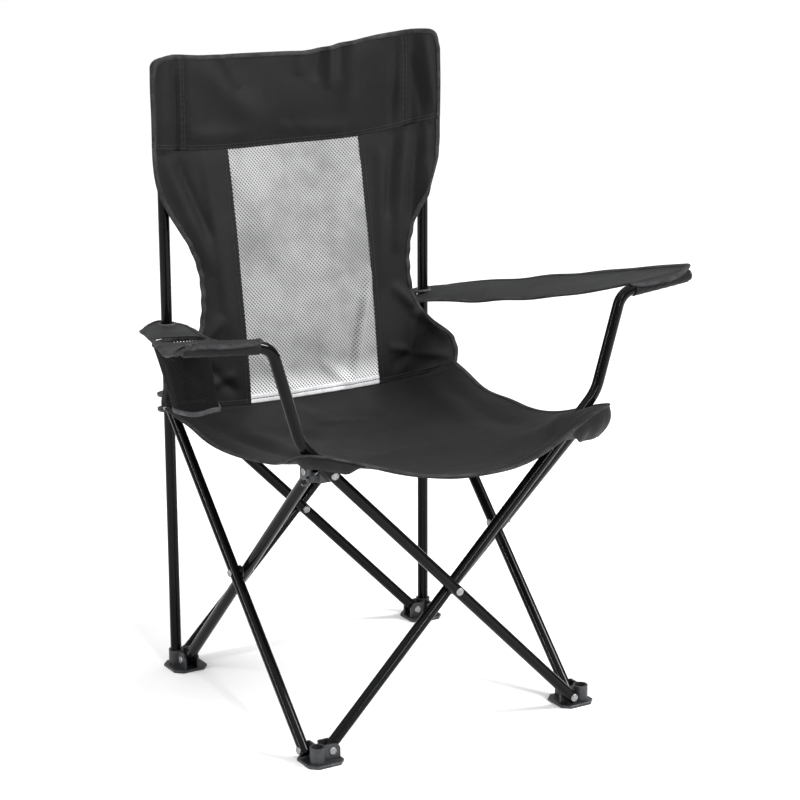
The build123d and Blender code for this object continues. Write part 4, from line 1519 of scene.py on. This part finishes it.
    def build(self) -> list:
        """Make the strip and sleeve, its tape, eyelet and stitches.

        Returns:
            The pieces that go with the strip.
        """
        ride = self.ride()
        points, flat, keep = self.grid()
        if self.sign > 0:
            order = points[:, ::-1], flat[:, ::-1], keep[:, ::-1]
        else:
            order = points, flat, keep
        cloth = slab(f"{self.side}_armrest_cloth", order[0], self.thickness, order[1], order[2])
        # The strip takes the paler copy of the canvas: painted light for its lit top.
        dress(cloth, ARM_CANVAS_PAINTED_LIT, ride)
        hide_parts(f"{self.side}_armrest")
        normal = normals_of(points)
        normal = normal * (1 if normal[40, 20, 2] > 0 else -1)
        extras, seams = [], Seams()
        strip_rows = 150
        edge, facing = (np.concatenate([g[::-1, 0], g[0, 1:-1], g[:, -1], g[-1, -2:0:-1]])
                        for g in (points, normal))
        hem = Hem.along(edge, facing, points[75, 22], 420, ring=True)
        hem_tape = hem.tape(f"{self.side}_armrest_tape", 7.0, 3.4, ring=True)
        extras.append(dress(hem_tape, TAPE, ride))
        seams.row(hem.path + hem.inward * 4.9, hem.normal, 1.85)
        for step in (-3, -7):
            row = strip_rows + step
            seams.row(points[row, 3:-3], normal[row, 3:-3], 1.1)
        extras.append(self.sleeve(ride))
        extras.append(self.eyelet(ride))
        extras.append(dress(seams.build(f"{self.side}_armrest_stitches"), THREAD, ride))
        return extras

    def sleeve(self, ride: Ride) -> Piece:
        """Sleeve under the strip: it goes from behind the arm tube round below it to the strip's lip.

        Past the tube's end the sleeve closes flat under the strip's outer corner.

        Args:
            ride: How the armrest moves.

        Returns:
            The sleeve.
        """
        turn, share = np.meshgrid(np.linspace(math.radians(152), math.radians(394), 40),
                                  np.linspace(0, 1, 60),
                                  indexing="ij")
        line = np.linspace(0, 1, 400)
        reach = (self.front_low + (self.front_high - self.front_low) * line
                 + self.flare[0] * line ** self.flare_power)
        x = self.front_low + 5 + (reach[-1] - 2 - self.front_low - 5) * share
        corner = np.interp(x, reach, line) ** self.flare_power
        closing = 0.9 * smoothstep(x, MEASURES.arm_tip + 3, MEASURES.arm_tip + 16)
        radius = self.wrap_radius - 0.5 + 0.3 * np.sin(5 * turn + 40 * share) * np.sin(math.pi * share)
        follow = np.clip((np.sin(turn) + 1) / 1.4, 0, 1) * max(self.flare[1], 0.0) * corner
        rise = (radius * np.sin(turn) + follow) * (1 - closing)
        under_strip = self.wrap_radius - 1.8 + self.flare[1] * corner
        rise = np.minimum(rise + under_strip * closing, np.maximum(under_strip, -6.0))
        grid = np.stack([self.sign * x, self.arm_y + radius * np.cos(turn) * (1 - 0.5 * closing),
                         self.tube_height(x) + rise], axis=-1)
        flat = np.stack([x, radius * turn], axis=-1) / 1000
        if self.sign > 0:
            grid, flat = grid[:, ::-1], flat[:, ::-1]
        return dress(slab(f"{self.side}_armrest_sleeve", grid, 1.2, flat), CANVAS, ride)

    def eyelet(self, ride: Ride) -> Piece:
        """Sewn ring round the post's hole, on the strip."""
        angle = np.linspace(0, 2 * math.pi, 36, endpoint=False)
        radius = MEASURES.tube_radius + self.post_gap
        x = MEASURES.half + radius * np.cos(angle)
        y = MEASURES.half + radius * np.sin(angle)
        t = (MEASURES.half + self.overhang - y) / (MEASURES.half + self.overhang - self.arm_y)
        s = np.full_like(t, 0.5)
        level = self.strip(s, t)[..., 2]
        path = np.stack([self.sign * x, y, level + 0.4], axis=-1)
        outward = np.stack([self.sign * np.cos(angle), np.sin(angle), np.zeros_like(angle)], axis=-1)
        up = np.tile(np.array([0.0, 0.0, 1.0]), (len(angle), 1))
        piece = swept(f"{self.side}_post_eyelet", path, outward, up, tape_profile(5.2, 3.4), ring=True)
        return dress(piece, NET_TAPE, ride)


@dataclass
class CupHolder:
    """Net cup holder hung from the hole in the left armrest: a slack tapered tube with a bound bottom."""

    armrest: Armrest
    top_radius: float = 38.5
    bottom_radius: float = 31.5
    floor: float = 439.0
    slump: Pair = (11.0, -23.0)

    def wall(self, angle: Array, share: Array) -> Array:
        """Point of the net: its radius tapers from top to bottom, drawn in and out by soft folds.

        Args:
            angle: Round the holder.
            share: 0 at the bottom, 1 at the armrest.

        Returns:
            Points in millimetres.
        """
        centre = self.armrest.cup_centre()
        slack = np.sin(math.pi * share) * (1.1 * np.sin(5 * angle + 0.7) + 0.7 * np.sin(9 * angle + 2.1))
        radius = (self.bottom_radius + (self.top_radius - self.bottom_radius) * share
                  - 1.4 * np.sin(math.pi * share))
        radius = radius + slack
        lean = (1 - share) ** 0.9
        x = centre[0] + radius * np.cos(angle) + self.slump[0] * lean
        y = centre[1] + radius * np.sin(angle) + self.slump[1] * lean
        rear_end = MEASURES.half + self.armrest.overhang
        t = (rear_end - y) / (rear_end - self.armrest.arm_y)
        brim = self.armrest.strip(np.full_like(t, 0.5), t)[..., 2] - 2.2
        low = self.floor + 1.2 * np.sin(3 * angle)
        return np.stack([x, y, low + (brim - low) * share], axis=-1)

    def build(self) -> None:
        """Make the net's wall and floor as one piece, its two bindings and a row of stitches just above the
        bottom binding.
        """
        ride = self.armrest.ride()
        share, angle = np.meshgrid(np.linspace(0, 1, 40), np.linspace(0, 2 * math.pi, 97), indexing="ij")
        wall = self.wall(angle, share)
        reach = np.linspace(0, 1, 13)[1:-1][:, None, None]
        centre = self.armrest.cup_centre()
        hub = np.array([centre[0] + self.slump[0], centre[1] + self.slump[1], self.floor - 2.5])
        floor = hub + (wall[0][None] - hub) * reach
        grid = np.concatenate([np.repeat((hub + (wall[0] - hub) * 0.02)[None], 1, 0), floor, wall])
        down = np.concatenate(([0], np.cumsum(np.linalg.norm(np.diff(grid[:, 0], axis=0), axis=1)))) / 1000
        around = np.linspace(0, 2 * math.pi * 0.036, 97)
        flat = np.stack(np.meshgrid(around, down), axis=-1)
        net = slab("cup_holder_cloth", grid[:, ::-1], 0.9, flat)
        dress(net, NET, ride)
        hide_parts("cup_holder_net")
        ring = np.linspace(0, 2 * math.pi, 96, endpoint=False)
        for name, place, size, finish in (("cup_bottom_binding", 0.0, (7.0, 3.2), NET_TAPE),
                                          ("cup_top_binding", 0.965, (6.5, 3.0), TAPE)):
            path = self.wall(ring, np.full_like(ring, place))
            path[:, 2] += 1.2 * np.sin(4 * ring) if place == 0 else 0
            outward = np.stack([np.cos(ring), np.sin(ring), np.zeros_like(ring)], axis=-1)
            up = np.tile(np.array([0.0, 0.0, 1.0]), (len(ring), 1))
            piece = swept(name, path + outward * 0.4, up, outward, tape_profile(*size), ring=True)
            dress(piece, finish, ride)
            if place > 0:
                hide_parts("cup_holder_rim")
        seams = Seams()
        path = self.wall(ring, np.full_like(ring, 0.0)) + np.array([0, 0, 4.5])
        outward = np.stack([np.cos(ring), np.sin(ring), np.zeros_like(ring)], axis=-1)
        seams.row(path, outward, 2.2)
        dress(seams.build("cup_holder_stitches"), THREAD, ride)


# ---------------------------------------------------------------------------------------------------------
# Studio
# ---------------------------------------------------------------------------------------------------------

@dataclass
class Studio:
    """Pale floor and backdrop, soft lights and the camera."""

    eye: Point = (-1720.78, -2938.44, 1360.54)
    azimuth: float = -31.007
    elevation: float = 15.319
    roll: float = -0.187
    lens: float = 112.3
    floor_colour: Point = (0.88, 0.88, 0.88)
    horizon: float = 0.22
    zenith: float = 1.25

    def floor(self) -> None:
        """A wide plane whose colour drifts a little, so that it isn't perfectly flat."""
        size = 40.0
        corners = np.array([[-size, -size, 0], [size, -size, 0], [size, size, 0], [-size, size, 0]], float)
        mesh = bpy.data.meshes.new("studio_floor")
        mesh.from_pydata((corners - np.array([0, 0, 0.0004])).tolist(), [], [[0, 1, 2, 3]])
        piece = bpy.data.objects.new("studio_floor", mesh)
        bpy.context.scene.collection.objects.link(piece)
        material = bpy.data.materials.new("studio_floor")
        material.use_nodes = True
        shader = next(n for n in material.node_tree.nodes if n.type == "BSDF_PRINCIPLED")
        w = Wiring(material.node_tree)
        place = w.add("ShaderNodeTexCoord")
        noise = w.add("ShaderNodeTexNoise")
        noise.inputs["Scale"].default_value = 0.6
        w.join(place.outputs["Object"], noise.inputs["Vector"])
        pale = tuple(c * 1.02 for c in self.floor_colour)
        w.join(w.blend(noise.outputs["Fac"], self.floor_colour, pale), shader.inputs["Base Color"])
        shader.inputs["Roughness"].default_value = 0.9
        shader.inputs["Specular IOR Level"].default_value = 0.1
        mesh.materials.append(material)

    def camera(self) -> None:
        """Camera at its place and turn: back = (sin a cos e, -cos a cos e, sin e), then rolled about it."""
        a, e, r = (math.radians(v) for v in (self.azimuth, self.elevation, self.roll))
        back = Vector((math.sin(a) * math.cos(e), -math.cos(a) * math.cos(e), math.sin(e)))
        right = (-back).cross(Vector((0, 0, 1))).normalized()
        up = right.cross(-back)
        turned = right * math.cos(r) + up * math.sin(r)
        above = up * math.cos(r) - right * math.sin(r)
        data = bpy.data.cameras.new("camera")
        data.lens, data.sensor_width = self.lens, 36.0
        data.clip_end = 200.0
        camera = bpy.data.objects.new("camera", data)
        camera.matrix_world = Matrix.Translation(Vector(metres(np.array(self.eye)))) @ Matrix(
            (turned, above, back)).transposed().to_4x4()
        bpy.context.scene.collection.objects.link(camera)
        bpy.context.scene.camera = camera

    def light(self, name: str, place: Point, target: Point, size: Pair, power: float) -> None:
        """Rectangular area light.

        Args:
            name: The light's name.
            place: Where it stands, in metres.
            target: What it faces.
            size: Width and height.
            power: In watts.
        """
        data = bpy.data.lights.new(name, "AREA")
        data.shape, data.size, data.size_y = "RECTANGLE", size[0], size[1]
        data.energy = power
        lamp = bpy.data.objects.new(name, data)
        lamp.location = place
        lamp.rotation_euler = (Vector(target) - Vector(place)).to_track_quat("-Z", "Y").to_euler()
        bpy.context.scene.collection.objects.link(lamp)

    def build(self) -> None:
        """Make the world, floor, lights and camera."""
        world = bpy.data.worlds.new("studio")
        world.use_nodes = True
        back = world.node_tree.nodes["Background"]
        back.inputs[0].default_value = (1.0, 1.0, 1.0, 1.0)
        w = Wiring(world.node_tree)
        split = w.add("ShaderNodeSeparateXYZ")
        w.join(w.add("ShaderNodeTexCoord").outputs["Generated"], split.inputs[0])
        overhead = w.ramp(split.outputs[2], 0.25, 0.8)
        w.join(w.sum("MULTIPLY_ADD", overhead, self.zenith, self.horizon), back.inputs[1])
        bpy.context.scene.world = world
        self.floor()
        middle = (0.0, 0.0, 0.45)
        self.light("key_softbox", (2.2, -1.9, 2.9), middle, (0.8, 1.4), 190)
        self.light("front_strip", (-0.6, -3.4, 1.7), middle, (0.1, 2.0), 38)
        self.light("left_strip", (-3.0, 0.2, 1.3), middle, (0.1, 2.2), 48)
        bpy.context.scene.view_settings.view_transform = "Standard"
        self.camera()


def main() -> None:
    logging.basicConfig(level=logging.INFO, format="%(message)s")
    Studio().build()
    FrameFinishes().build()
    seat = Seat()
    seat.build()
    Back(seat).build()
    left = Armrest(-1.0, "left", "front_cross_outer", cup=True, front_high=398.0)
    left.build()
    Armrest(1.0, "right", "front_cross_inner", cup=False, sag_inner=12.0, sag_outer=0.0, tilt=13.0,
            flare=(3.0, 6.0)).build()
    CupHolder(left).build()


if __name__ == "__main__":
    main()
